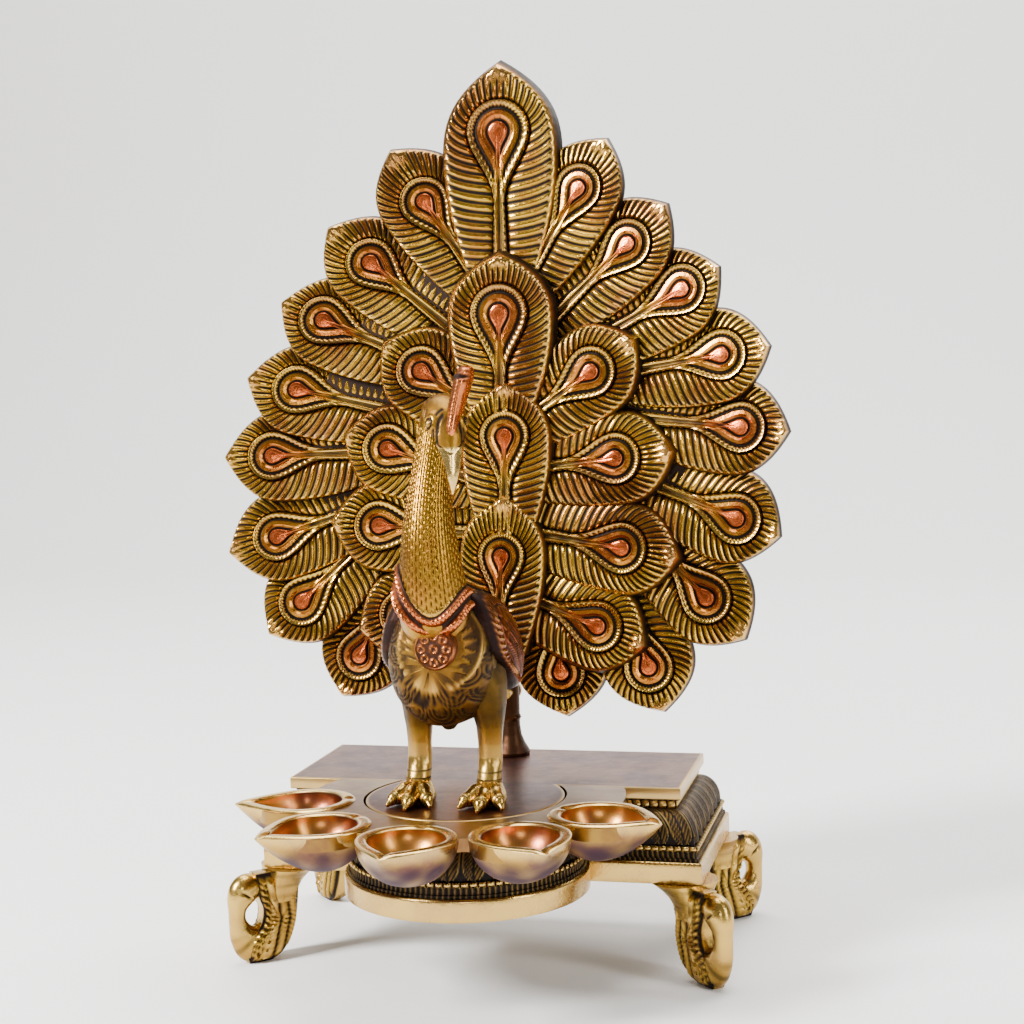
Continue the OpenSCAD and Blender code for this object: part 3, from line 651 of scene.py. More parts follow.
# ---- Peacock's body, neck and head ----
# Hollow-cast brass in two lengths, filed and chased by hand: a breast chased with rings and
# teeth, a neck covered in short upright dashes, and a head that looks a little to one side.
BIRD_X = -4.5
LEG_Y = BOW_Y - BOW_R + 28.5
BREAST_Y = LEG_Y - 17
BODY_Z = PLATE_Z + 49.5
STRUT_Y, STRUT_R, FAN_T = REAR_Y - 10, 3.6, 4.5
FAN_FRONT = STRUT_Y - STRUT_R - FAN_T
TAIL_PAST = FAN_FRONT - 2 - BREAST_Y
BODY_AROUND, BODY_STEPS = 176, 150
# From breast to tail: [past the breast, rise, half width, half height]
body_line = line_through([(0, 2, 2.6, 3.1), (1, 2, 9.2, 10.9), (4, 1.5, 14, 18.2),
                          (10, 1.5, 18.0, 22.4), (22, 1.5, 20, 24), (38, 0, 19.4, 23.2),
                          (54, -2, 16.7, 18.7), (70, -3, 11.4, 12), (TAIL_PAST, -3, 10.5, 9)],
                         BODY_STEPS)
PENDANT_X, PENDANT_Z = BIRD_X + 2.4, BODY_Z + 8.2


SAW_TEETH, SCALE_LONG = 20, 4.2


def teeth(angle, number):
    """A triangle wave round a ring: 1 at each tooth's middle."""
    return 1 - np.abs(2 * ((angle / (2 * math.pi) * number) % 1) - 1)


def body_skin(i, j):
    row = body_line[np.clip(j - 2, 0, BODY_STEPS).astype(int)]
    size = np.interp(j, [0, 1, 2, BODY_STEPS + 2, BODY_STEPS + 3], [0, 0.6, 1, 1, 0])
    angle = turned(i, BODY_AROUND)
    x, z = row[:, 2] * size * np.cos(angle), row[:, 3] * size * np.sin(angle) + row[:, 1]
    past = row[:, 0]
    chest_x, chest_z = x - PENDANT_X + BIRD_X, z - PENDANT_Z + BODY_Z
    rings, round_it = np.hypot(chest_x, chest_z), np.arctan2(chest_z, chest_x)
    front = 1 - eased(past, 11, 15)
    # A saw-toothed band round the pendant, then rows of nested arcs with hatching between them
    saw = (rings - 8.6) / 5 < teeth(round_it, SAW_TEETH)
    band = front * (rings > 8.4) * (rings < 14.2)
    level = (14.2 - chest_z) / 7.2
    row_at = np.floor(level)
    arch = ((chest_x / 9.5 + 0.5 * (row_at % 2)) % 1 * 2 - 1) * 4.75
    bow_at = np.hypot(arch, (level % 1) * 7.2 - 1.2)
    arcs = sum(peak(bow_at - size_at, 0.34) for size_at in (2.2, 3.6, 5.0))
    hatch = wave(np.arctan2(arch, bow_at) * 24) * (bow_at < 2)
    lower = front * (rings > 15.2)
    chest = band * (0.55 * saw - 0.3) + lower * (0.25 - 0.55 * arcs - 0.2 * hatch)
    hem = front * peak(rings - 14.7, 0.5)
    # Overlapping scales behind the breast band
    rows_back = past / SCALE_LONG
    stagger = (np.floor(rows_back) % 2) * 0.5
    scale_at = (i / 8 + stagger) % 1 * 2 - 1
    scale_len = (rows_back % 1) - 0.5 * scale_at**2
    scales = (1 - front) * (0.75 * eased(scale_len, -0.1, 0.12) - 0.35)
    knob = 2.6 * np.exp(-((np.hypot(x, (past - 22) * 0.9)) / 2.6) ** 4) * (z < -10)
    swell = (chest + 0.5 * hem + scales) * size + knob
    relief = 0.38 + band * (0.16 * saw - 0.1) - lower * (0.28 * arcs + 0.12 * hatch) + 0.25 * hem
    relief = relief - 0.3 * (1 - front) * (1 - eased(scale_len, -0.1, 0.1))
    return (BIRD_X + x + swell * np.cos(angle) * 0.8,
            BREAST_Y + past - 0.5 * swell * (1 - eased(past, 2, 12)) - 0.6 * (1 - size) * (j < 3),
            BODY_Z + z + swell * np.sin(angle) * 0.8), (relief, 0.1 * front, 0.3 * hem)


NECK_AROUND, DASH_STEPS, DASH_LONG = 176, 4, 5
neck_line = tube_rows([(BREAST_Y + y, BODY_Z + 8 + z, w, d) for y, z, w, d in (
    (17, 1.5, 8, 7), (10, 8, 12.2, 12.5), (7, 20, 11.8, 13), (6, 36, 9.8, 10.5),
    (9.5, 54, 7.8, 8.2), (16, 69, 6.9, 7), (20.5, 77, 6.8, 7.2), (22.5, 82, 6, 6.4))], 150)


def collar_height(x):
    """Height of the collar's middle: a vee at the front that climbs round the neck."""
    return BODY_Z + 10.5 + 18 * (np.hypot(x - 2.6, 4.5) / 13) ** 1.3


def bib_edge(x):
    return collar_height(x) + 4.4 + 1.2 * (1 - np.abs(x - 2.6) / 14)


def neck_skin(i, j):
    y, z, side, _ = tube_at(neck_line, i, j, NECK_AROUND)
    column = np.floor(i / DASH_STEPS)
    along = (j / DASH_LONG + 0.5 * (column % 2) + 0.23 * np.sin(column * 12.9)) % 1
    cut_in = ((i % DASH_STEPS) == 1) * (along < 0.66)
    cut_in = cut_in * (z > bib_edge(side)) * (z < BODY_Z + 84)
    hem = peak(z - bib_edge(side), 0.8)
    inward = 1 - 0.035 * cut_in + 0.03 * hem
    lean = 0.8 * eased(z, BODY_Z + 45, BODY_Z + 92) - 0.8 * eased(z, BODY_Z + 25, BODY_Z + 60)
    middle_y = np.interp(z, neck_line[5:-5, 1], neck_line[5:-5, 0])
    return (BIRD_X + lean + side * inward, middle_y + (y - middle_y) * inward, z), (
        0.64 - 0.3 * cut_in + 0.2 * hem, 0.08, 0.2 * hem)


HEAD_TURN = math.radians(25)
HEAD_AT = (BIRD_X + 1.7, BREAST_Y + 21.5)
HEAD_AROUND = 96
# Skull to beak tip: [forward, height over the body's middle, half width, half depth]
head_line = tube_rows([(f, BODY_Z + z, w, d) for f, z, w, d in (
    (-6.2, 86, 3.6, 3.4), (-3.8, 88.4, 6.9, 6.3), (0, 88.2, 8.1, 7.4), (4.4, 85.4, 7.8, 7.0),
    (7.4, 81, 6.6, 5.9), (9.2, 77, 5.6, 4.9), (10.8, 72.4, 4.5, 3.9), (12.3, 67.4, 3.2, 2.8),
    (13.3, 63.2, 1.5, 1.5), (13.8, 60.9, 0.5, 0.5))], 120, blunt=0.5)


def head_skin(i, j):
    ahead, z, side, angle = tube_at(head_line, i, j, HEAD_AROUND)
    face_z = z - BODY_Z
    # Eyes: a lidded ball in a ring, with two brow lines that sweep down to the beak
    eye = np.hypot((ahead - 8.3) / 0.9, (face_z - 85.4) / 1.25)
    cheek = np.abs(side) > 1.5
    ball = hill(np.clip(eye, 0, 2.0), 1.1) * (eye < 1.1)
    lid = peak(eye - 2.1, 0.4)
    brow_at = ahead - 10.6 - (84 - face_z) * 0.13
    brow = sum(peak(brow_at - step, 0.34) for step in (0.5, -0.7, -5.2, -6.6))
    brow = brow * (face_z > 78.5) * (face_z < 90.5) * cheek * (eye > 2.4)
    fine = wave(ahead * 9 + face_z * 2) * (face_z > 82) * (ahead > 11) * 0.5
    root_line = peak(face_z - 77.4 - 0.09 * side**2 + 0.4 * (ahead - 9), 0.42)
    mouth = peak(ahead - 10.6 + (face_z - 72) * 0.36, 0.18) * (face_z < 76) * cheek
    dash = ((i % 4) == 1) * ((j / 4 + 0.5 * ((i // 4) % 2)) % 1 < 0.6) * (ahead < 2) * (eye > 3)
    swell = cheek * (1.0 * ball + 0.7 * lid) - 0.6 * brow - 0.35 * fine - 0.6 * root_line
    swell = swell - 0.3 * mouth - 0.3 * dash
    side = side * (1 - (1 - eased(face_z, 74, 80)) * (1 - np.abs(np.cos(angle)) ** 0.5))
    side = side + np.sign(side) * swell * np.minimum(np.abs(side) / 3, 1)
    ahead = ahead - 0.35 * root_line * (1 - np.minimum(np.abs(side) / 4, 1))
    beak = 1 - eased(face_z, 76.2, 77.6)
    height = 0.5 + 0.3 * lid - 0.5 * brow - 0.35 * fine - 0.5 * root_line - 0.4 * mouth
    height = np.where((eye > 1.0) & (eye < 1.7) & cheek, 0, height - 0.4 * dash)
    height = np.maximum(height, 0.95 * beak - 0.5 * mouth)
    x = HEAD_AT[0] + ahead * math.sin(HEAD_TURN) + side * math.cos(HEAD_TURN)
    y = HEAD_AT[1] - ahead * math.cos(HEAD_TURN) + side * math.sin(HEAD_TURN)
    return (x, y, z), (height, 0.12 * (1 - beak), np.clip(0.9 * beak + 0.4 * ball * cheek, 0, 1))


bird_brass = cast_brass("bird_brass", gold=(0.36, 0.20, 0.016), patina=(0.012, 0.005, 0.002),
                        blush=(0.17, 0.065, 0.014), shine=0.27, blush_share=0.6)
put(shaped("peacock_body", BODY_AROUND, BODY_STEPS + 3, body_skin), bird_brass, "bird_brass",
    "bird_body")
put(joined("peacock_neck", [shaped("neck", NECK_AROUND, len(neck_line) - 1, neck_skin),
                            shaped("head", HEAD_AROUND, len(head_line) - 1, head_skin)]),
    bird_brass, "bird_brass", "neck_and_head")


# ---- Peacock's crest, collar and pendant ----
# Small castings soldered on and washed with copper: a notched crest, a ribbed collar round the
# neck's foot, and a round pendant with a ring of ringlets.
crest_line = tube_rows([(2.6, 80, 1.0, 1.2), (2.9, 85, 2.0, 2.0), (3.5, 90, 2.4, 2.4),
                        (4.5, 95, 2.6, 2.6), (5.7, 100, 2.8, 2.8), (6.5, 103.6, 2.4, 2.4)], 60,
                       blunt=0.7)


CREST_STEPS, COLLAR_STEPS, PENDANT_STEPS, PENDANT_R = 56, 240, 144, 7.5


def crest_skin(i, j):
    x, z, side, _ = tube_at(crest_line, i, j, CREST_STEPS)
    deep = np.interp(z, [80, 92, 100, 104], [1.9, 2.2, 2.5, 2.1])
    left = x < np.interp(z, crest_line[5:-5, 1], crest_line[5:-5, 0]) + 0.4
    lines = wave(z * 4.6 + side * 2.2) * left
    notch = np.exp(-(((z - 101.5) / 0.8) ** 2 + ((side + 2.6) / 1.6) ** 2))
    ridge = peak(side + 1.2, 0.5) * left
    x = x - 0.22 * lines * left - 0.4 * ridge - 1.2 * notch
    y = HEAD_AT[1] + np.interp(z, [79, 83, 88, 104], [-9.8, -9.4, -6.5, -1.5]) + side * deep
    return (HEAD_AT[0] + x + 3.0, y, BODY_Z + z), (
        np.clip(0.75 - 0.45 * lines * left - 0.9 * notch, 0, 1),
        0.25 + 0.55 * (1 - left), 0.2 * (1 - left))


COLLAR_ROWS = np.array([*((v, 1) for v in np.linspace(-4.6, 4.6, 33)), (4.6, 0), (-4.6, 0),
                        (-4.6, 1)])
neck_rise = neck_line[4:-4]


def collar_skin(i, j):
    v, out = COLLAR_ROWS[j.astype(int)].T
    angle = turned(i, COLLAR_STEPS)
    cord = np.exp(-((np.abs(v) - 2.4) / 1.35) ** 4)
    flutes = wave(i * math.pi / 2 + v * 1.4) * cord
    shelf = 2.6 * eased(-v, -1, 4) * eased(-np.sin(angle), 0.1, 0.9)
    swell = out * (shelf + 0.7 * np.sqrt(np.clip(1 - (v / 4.9) ** 4, 0, 1)) + 0.9 * cord
                   + 0.4 * flutes) - 3 * (1 - out)
    middle = collar_height(12.4 * np.cos(angle))
    middle = np.where(np.sin(angle) > 0, middle + 6 * np.sin(angle) ** 2, middle)
    z = middle + v
    centre_y, wide, deep = (np.interp(z, neck_rise[:, 1], neck_rise[:, n]) for n in (0, 2, 3))
    deep = deep * 1.03
    return (BIRD_X + (wide + swell) * np.cos(angle), centre_y + (deep + swell) * np.sin(angle),
            z), (np.clip(0.15 + 0.45 * cord + 0.4 * flutes, 0, 1) * out, 0.5, 0.2 * flutes)


def pendant_skin(i, j):
    angle = turned(i, PENDANT_STEPS)
    radius = np.interp(j, [0, 30, 31, 34, 35], [0, 7.1, PENDANT_R, PENDANT_R, 0])
    drop = np.interp(j, [0, 29, 31, 32, 34, 35], [0, 0, 0.5, 1.2, 4.2, 4.2])
    x, z = radius * np.cos(angle), radius * np.sin(angle)
    relief = 0 * x
    spots = [(0, 0)] + [(4.6 * math.sin(a), 4.6 * math.cos(a))
                        for a in np.linspace(0, 2 * math.pi, 8, endpoint=False)]
    for at_x, at_z in spots:
        far = np.hypot(x - at_x, z - at_z)
        relief = np.maximum(relief, peak(far - 1.15, 0.4))
    relief = np.maximum(relief, peak(radius - 6.9, 0.35)) * (j < 32)
    dome = 1.3 * (1 - (radius / PENDANT_R) ** 2)
    return (PENDANT_X + x, BREAST_Y - 1.6 - 0.6 * relief - dome * (j < 33) + drop + 0.08 * z
            * (j < 33), PENDANT_Z + z), (0.22 + 0.5 * relief + 0.2 * (j >= 31), 0, 0.1 * relief)


copper_wash = cast_brass("copper_wash", gold=(0.40, 0.13, 0.035), patina=(0.02, 0.007, 0.004),
                         blush=(0.25, 0.06, 0.022), shine=0.26, blush_share=0.7,
                         worn=(0.9, 0.42, 0.16))
put(shaped("crest", CREST_STEPS, len(crest_line) - 1, crest_skin), copper_wash, "copper_wash",
    "head_crest")
put(shaped("collar", COLLAR_STEPS, len(COLLAR_ROWS) - 1, collar_skin), copper_wash,
    "copper_wash", "collar")
put(shaped("pendant", PENDANT_STEPS, 35, pendant_skin), copper_wash, "copper_wash", "pendant")


# ---- Wings ----
# Two folded wings cast with the body's sides and chased: a ribbed leading band round a panel of
# long feathers. They are darker than the body, and the right one, on the side away from the key
# light, is a darker, more coppery copy of the left: painted shade.
WING_STEPS = 192
wing_points = [(12, 16), (16, 25), (28, 24), (42, 14), (54, -2), (60, -16), (52, -15), (38, -10),
               (24, -4), (14, 4)]
wing_edge = line_through([*wing_points, wing_points[0]], WING_STEPS)
WING_MIDDLE = np.array([33, 5])
WING_ROWS = np.array([*((r, 1) for r in np.linspace(0, 0.93, 30)), (0.965, 0.9), (0.99, 0.65),
                      (1, 0.3), (0.98, -0.3), (0, -0.3)])


def wing_skin(sign):
    def skin(i, j):
        share, rise = WING_ROWS[j.astype(int)].T
        edge = wing_edge[i.astype(int) % WING_STEPS]
        past, z = (WING_MIDDLE + (edge - WING_MIDDLE) * share[:, None]).T
        row = np.stack([np.interp(past, body_line[:, 0], column) for column in body_line.T], 1)
        level = np.clip(1 - ((z - row[:, 1]) / (row[:, 3] + 5)) ** 2, 0.05, 1)
        base = row[:, 2] * np.sqrt(level)
        down = (past - 14) * 0.82 - (z - 16) * 0.57
        over = (past - 14) * 0.57 + (z - 16) * 0.82
        band = eased(share, 0.74, 0.77) * (1 - eased(share, 0.92, 0.94))
        ribs = wave(i * 2 * math.pi / 4)
        panel = 1 - eased(share, 0.70, 0.74)
        quill = (over / 4.4 + 0.02 * down) % 1 * 2 - 1
        vanes = hill(quill, 1.02) * (0.8 + 0.2 * np.cos((down + 2.4 * np.abs(quill)) * 4.2))
        shaft = peak(quill, 0.12)
        shoulder = 1 - eased(down, 8, 12)
        scale_at = (z / 4.6 + 0.5 * (np.floor(past / 3.8) % 2)) % 1 * 2 - 1
        scale = eased(past / 3.8 % 1 - 0.5 * scale_at**2, -0.1, 0.12)
        carved = panel * ((1 - shoulder) * (0.85 * vanes + 0.3 * shaft) + shoulder * 0.8 * scale)
        carved = carved + band * (0.5 + 0.6 * ribs)
        lift = rise * (2.4 + 1.3 * (1 - share**2)) + (rise > 0.8) * 0.9 * carved
        x = BIRD_X + sign * np.where(rise > -0.2, base + lift, base - 3.5)
        # The right wing gets a little more copper, as part of its painted shade
        return (x, BREAST_Y + past, BODY_Z + z), (
            np.where(rise > 0.8, 0.1 + 0.7 * carved, 0.2), 0.12 + 0.08 * (sign > 0),
            0.2 * band * ribs)

    return skin


# Each wing's gold: the left one is the lit copy, the right one a darker copy that paints shade
for side, sign, gold_with_painted_light in (("left", -1, (0.24, 0.10, 0.04)), ("right", 1, (0.12, 0.035, 0.012))):
    wing_painted_light_brass = cast_brass(side + "_wing_painted_light_brass", gold=gold_with_painted_light, patina=(0.012, 0.004, 0.003),
                            blush=(0.10, 0.035, 0.018), shine=0.27, blush_share=0.6)
    put(shaped("wing_" + side, WING_STEPS, len(WING_ROWS) - 1, wing_skin(sign)), wing_painted_light_brass,
        "bird_brass", "wing_" + side)


# ---- Legs and clawed feet ----
# Stout turned legs stand on four-toed feet, with a seam where leg meets foot. Bright brass; a stud
# under each foot passes through the plate to a washer and nut.
leg_places = {"left": BIRD_X - 10.6, "right": BIRD_X + 15.6}
LEG_BACK, ANKLE_H = 3.4, 8.5
LEG_STEPS, LEG_AROUND, TOE_AROUND, PAD_AROUND = 110, 64, 28, 48
# Each toe: [turn from straight ahead, length]
TOES = ((-31, 15.5), (0, 18), (31, 15.5), (180, 12))
leg_line = [(ANKLE_H, 0), (ANKLE_H, 4.4), (ANKLE_H + 1, 4.4), (ANKLE_H + 12, 4.3),
            (ANKLE_H + 18, 4.8), (ANKLE_H + 23, 5.9), (ANKLE_H + 28, 7.4), (ANKLE_H + 34, 8.8),
            (ANKLE_H + 40, 9.2), (56, 8.4), (60, 6), (60, 0)]


def leg_skin(leg_x):
    rows = evened(leg_line, LEG_STEPS)

    def skin(i, j):
        height, radius = rows[j.astype(int)].T
        angle = turned(i, LEG_AROUND)
        facet = 1 + 0.035 * np.cos(angle * 5 + height * 0.1) * (height > 13)
        seam = peak(height - ANKLE_H - 2.4, 0.35)
        inward = (BIRD_X + 1 - leg_x) * 0.3 * eased(height, 26, 56)
        back = LEG_BACK * eased(height, ANKLE_H - 2, ANKLE_H + 8)
        return (leg_x + inward + radius * facet * np.cos(angle),
                LEG_Y + back + radius * facet * np.sin(angle), PLATE_Z + height), (
            0.62 - 0.4 * seam - 0.3 * eased(height, 18, 32), 0, 0.3 - 0.3 * eased(height, 14, 26))

    return skin


def toe(leg_x, turn, length):
    rows = tube_rows([(0, 4.6, 3.4, 4.0), (length * 0.35, 4.0, 3.0, 3.7),
                      (length * 0.6, 3.2, 2.8, 3.1), (length * 0.77, 2.7, 2.6, 2.6),
                      (length * 0.88, 1.7, 1.4, 1.6), (length * 1.0, 0.8, 0.6, 0.7)], 44)

    def skin(i, j):
        out, z, side, _ = tube_at(rows, i, j, TOE_AROUND)
        knuckle = peak(out - length * 0.5, 1.4)
        nail = peak(out - length * 0.82, 0.4)
        side = side * (1 + 0.07 * knuckle - 0.1 * nail)
        z = np.maximum(z * (1 + 0.06 * knuckle - 0.12 * nail), 0)
        way = math.radians(turn)
        return (leg_x + math.sin(way) * out + math.cos(way) * side,
                LEG_Y - math.cos(way) * out + math.sin(way) * side, PLATE_Z + z), (
            0.9 - 0.8 * nail, 0, 0.3 * knuckle + 0.2)

    return shaped("toe", TOE_AROUND, len(rows) - 1, skin)


def foot_pad(leg_x):
    rows = evened([(-9.5, 0), (-9.5, 2), (0, 2), (0, 5.8), (1.2, 6.3), (3.0, 6.0), (5.2, 5.2),
                   (7.2, 4.5), (ANKLE_H, 4.6), (ANKLE_H, 0)], 60)

    def skin(i, j):
        height, radius = rows[j.astype(int)].T
        angle = turned(i, PAD_AROUND)
        return (leg_x + radius * np.cos(angle), LEG_Y + radius * np.sin(angle),
                PLATE_Z + height), (0.85 - 0.5 * (height > 8), 0, 0.4)

    return shaped("pad", PAD_AROUND, 60, skin)


for side, leg_x in leg_places.items():
    put(shaped("leg_" + side, LEG_AROUND, LEG_STEPS, leg_skin(leg_x)), bird_brass, "bird_brass",
        "leg_" + side)
    toes = [toe(leg_x, turn, length) for turn, length in TOES]
    put(joined("claw_" + side, [foot_pad(leg_x), *toes]), bright_cast, "bright_brass",
        "claw_" + side)


# ---- Rear strut ----
# A dark brown turned post behind the bird, with a flared foot bolted to the plate. Its flattened
# head takes the screws that hold the fan.
STRUT_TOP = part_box("rear_strut")[1].z / MM
STRUT_AROUND, STRUT_STEPS = 48, 120
strut_line = evened([(PLATE_Z, 0), (PLATE_Z, 7.0), (PLATE_Z + 1.4, 7.3), (PLATE_Z + 3, 6.4),
                     (PLATE_Z + 4.6, 5.4), (PLATE_Z + 8, 4.1), (PLATE_Z + 12, STRUT_R),
                     (STRUT_TOP - 1.5, STRUT_R), (STRUT_TOP, 2.4), (STRUT_TOP, 0)],
                    STRUT_STEPS)


def strut_skin(i, j):
    height, radius = strut_line[j.astype(int)].T
    angle = turned(i, STRUT_AROUND)
    ring = peak(height - PLATE_Z - 15, 0.7) * 0.6
    radius = np.where(radius > 1, radius + ring, radius)
    y = STRUT_Y + radius * np.sin(angle)
    y = np.where(height > PLATE_Z + 14, np.maximum(y, FAN_FRONT + 4.7), y)
    return (radius * np.cos(angle), y, height), (0.5 + 0.3 * ring, 0, 0)


strut_brass = cast_brass("strut_brass", gold=(0.07, 0.028, 0.01), patina=(0.014, 0.006, 0.003),
                         blush=(0.04, 0.014, 0.007), shine=0.32, blush_share=0.8)
put(shaped("strut", STRUT_AROUND, STRUT_STEPS, strut_skin), strut_brass, "dark_brass", "rear_strut")


# ---- Tail fan ----
# Thirty cast feathers in three tiers on one dished back: nineteen round the edge, each lapped
# over the one below, eight inside them and three up the middle. Their gold barbs stand out of
# black grooves round a stem that opens into an eye with a copper heart; their sides are painted
# dark coppery brown, partly as bare brass and partly as painted shade between the tiers.
DISH_R = 400
FAN_LEAN = math.radians(2.2)
FAN_FOOT_Z = PLATE_Z + 40
FAN_MIDDLE = 81.5


def on_fan(x, z, proud):
    """A place on the fan: across, up from its middle, and proud of the outer feathers' faces."""
    deep = -(DISH_R - np.sqrt(DISH_R**2 - x**2)) - proud
    up = FAN_MIDDLE + z
    return (x, FAN_FRONT + deep * math.cos(FAN_LEAN) + up * math.sin(FAN_LEAN),
            FAN_FOOT_Z - deep * math.sin(FAN_LEAN) + up * math.cos(FAN_LEAN))


HALF_BARBS, BARB_STEPS = 24, 5
EYE_SHARE, FLARE_SHARE = 0.262, 2.1
FEATHER_STEPS = 2 * HALF_BARBS * BARB_STEPS
# Rows from a feather's middle line out, over its rim and round to the middle of its back, as
# [share of the eye, share of the barbs, fall over the rim, share of the back]
FEATHER_ROWS = np.array(
    [(r, 0, 0, 0) for r in (0, 0.1, 0.14, 0.17, 0.2, 0.27, 0.31, 0.36, 0.41, 0.45, 0.51, 0.58,
                            0.64, 0.68, 0.73, 0.78, 0.83, 0.89, 0.95, 0.98)]
    + [(1, t, 0, 0) for t in (0, 0.05, 0.13, 0.3, 0.5, 0.7, 0.86, 0.95)]
    + [(1, 1, f, 0) for f in (0.06, 0.18, 0.5, 0.9, 1)]
    + [(1, 1, 1, b) for b in (0.3, 1)])


def vane(t, widest):
    """Share of a feather's half width from its root at 0 to its blunt corner of a tip at 1."""
    past = np.clip((t - widest) / (1 - widest), 0, 1)
    return np.where(t < widest, 0.6 + 0.4 * np.sin(math.pi / 2 * np.clip(t / widest, 0, 1)),
                    1 - past**2.8)


def mirrored(half_line, steps):
    """A left half line, from root to tip, as steps + 1 places from root to tip to root."""
    left = evened(half_line, steps // 2)
    return np.vstack([left, (left[-2::-1]) * (-1, 1)])


def at_share(line, share):
    """Places along a line at shares from 0 to 1."""
    spot = np.clip(share, 0, 1) * (len(line) - 1)
    return (np.interp(spot, np.arange(len(line)), line[:, 0]),
            np.interp(spot, np.arange(len(line)), line[:, 1]))


# How far the eye's rings and its stem stand out, and how bright the rings are, from middle to rim
RING_LIFTS = ([0, 0.27, 0.31, 0.37, 0.44, 0.51, 0.64, 0.69, 0.75, 0.80, 0.95, 1],
              [1.55, 1.3, 0.9, 0.15, 0.8, 1.35, 1.2, 0.3, 0.35, 1.55, 1.7, 1.7])
STEM_LIFTS = ([0, 0.2, 0.36, 0.6, 0.83, 0.95, 1], [0.35, 0.5, 1.35, 1.6, 1.25, 0.7, -0.1])
RING_HEIGHTS = ([0, 0.13, 0.17, 0.2, 0.27, 0.31, 0.36, 0.40, 0.46, 0.64, 0.69, 0.75, 0.81, 1],
                [0.95, 0.9, 0.3, 0.9, 0.9, 0.15, 0, 0.3, 0.9, 0.85, 0.0, 0.05, 0.9, 1])


def feather_lines(root, past, width, eye_r, flare, widest):
    """A feather's rim, the outline of its eye and stem, and the eye's teardrop as directions."""
    t = np.linspace(0, 1, 160)
    rim = np.stack([-width / 2 * vane(t, widest), -root + (root + past) * t], 1)
    rim_line = mirrored(rim, FEATHER_STEPS)
    # The eye's outline keeps step with the rim: stem with stem, flank with flank, top with tip
    y = np.concatenate([np.linspace(-root, 0, 80)[:-1],
                        eye_r * np.sin(np.linspace(0, math.pi / 2, 60))])
    stem = np.interp(y, [-root, -flare], [3.2, 2.2])
    side = np.where(y < 0, stem + (eye_r - stem) * eased(y, -flare, 0.5),
                    np.sqrt(np.clip(eye_r**2 - y**2, 0, None)))
    side[-1] = 0
    far = np.concatenate([[0], np.cumsum(np.hypot(np.diff(side), np.diff(y)))])
    half = FEATHER_STEPS // 2
    rim_up = rim_line[:half + 1, 1]
    keys_rim = np.interp([-flare + 2.5, 4.0], rim_up, np.arange(half + 1))
    keys_eye = np.interp([-flare, 0], y, far)
    step_far = np.interp(np.arange(half + 1), [0, *keys_rim, half], [0, *keys_eye, far[-1]])
    left = np.stack([-np.interp(step_far, far, side), np.interp(step_far, far, y)], 1)
    eye_line = np.vstack([left, left[-2::-1] * (-1, 1)])
    # The teardrop that the rings copy in smaller sizes: how far out it is in each direction
    drop = left[left[:, 1] >= -flare]
    drop_way, drop_far = np.arctan2(-drop[:, 0], -drop[:, 1]), np.hypot(*drop.T)
    return rim_line, eye_line, drop_way, drop_far


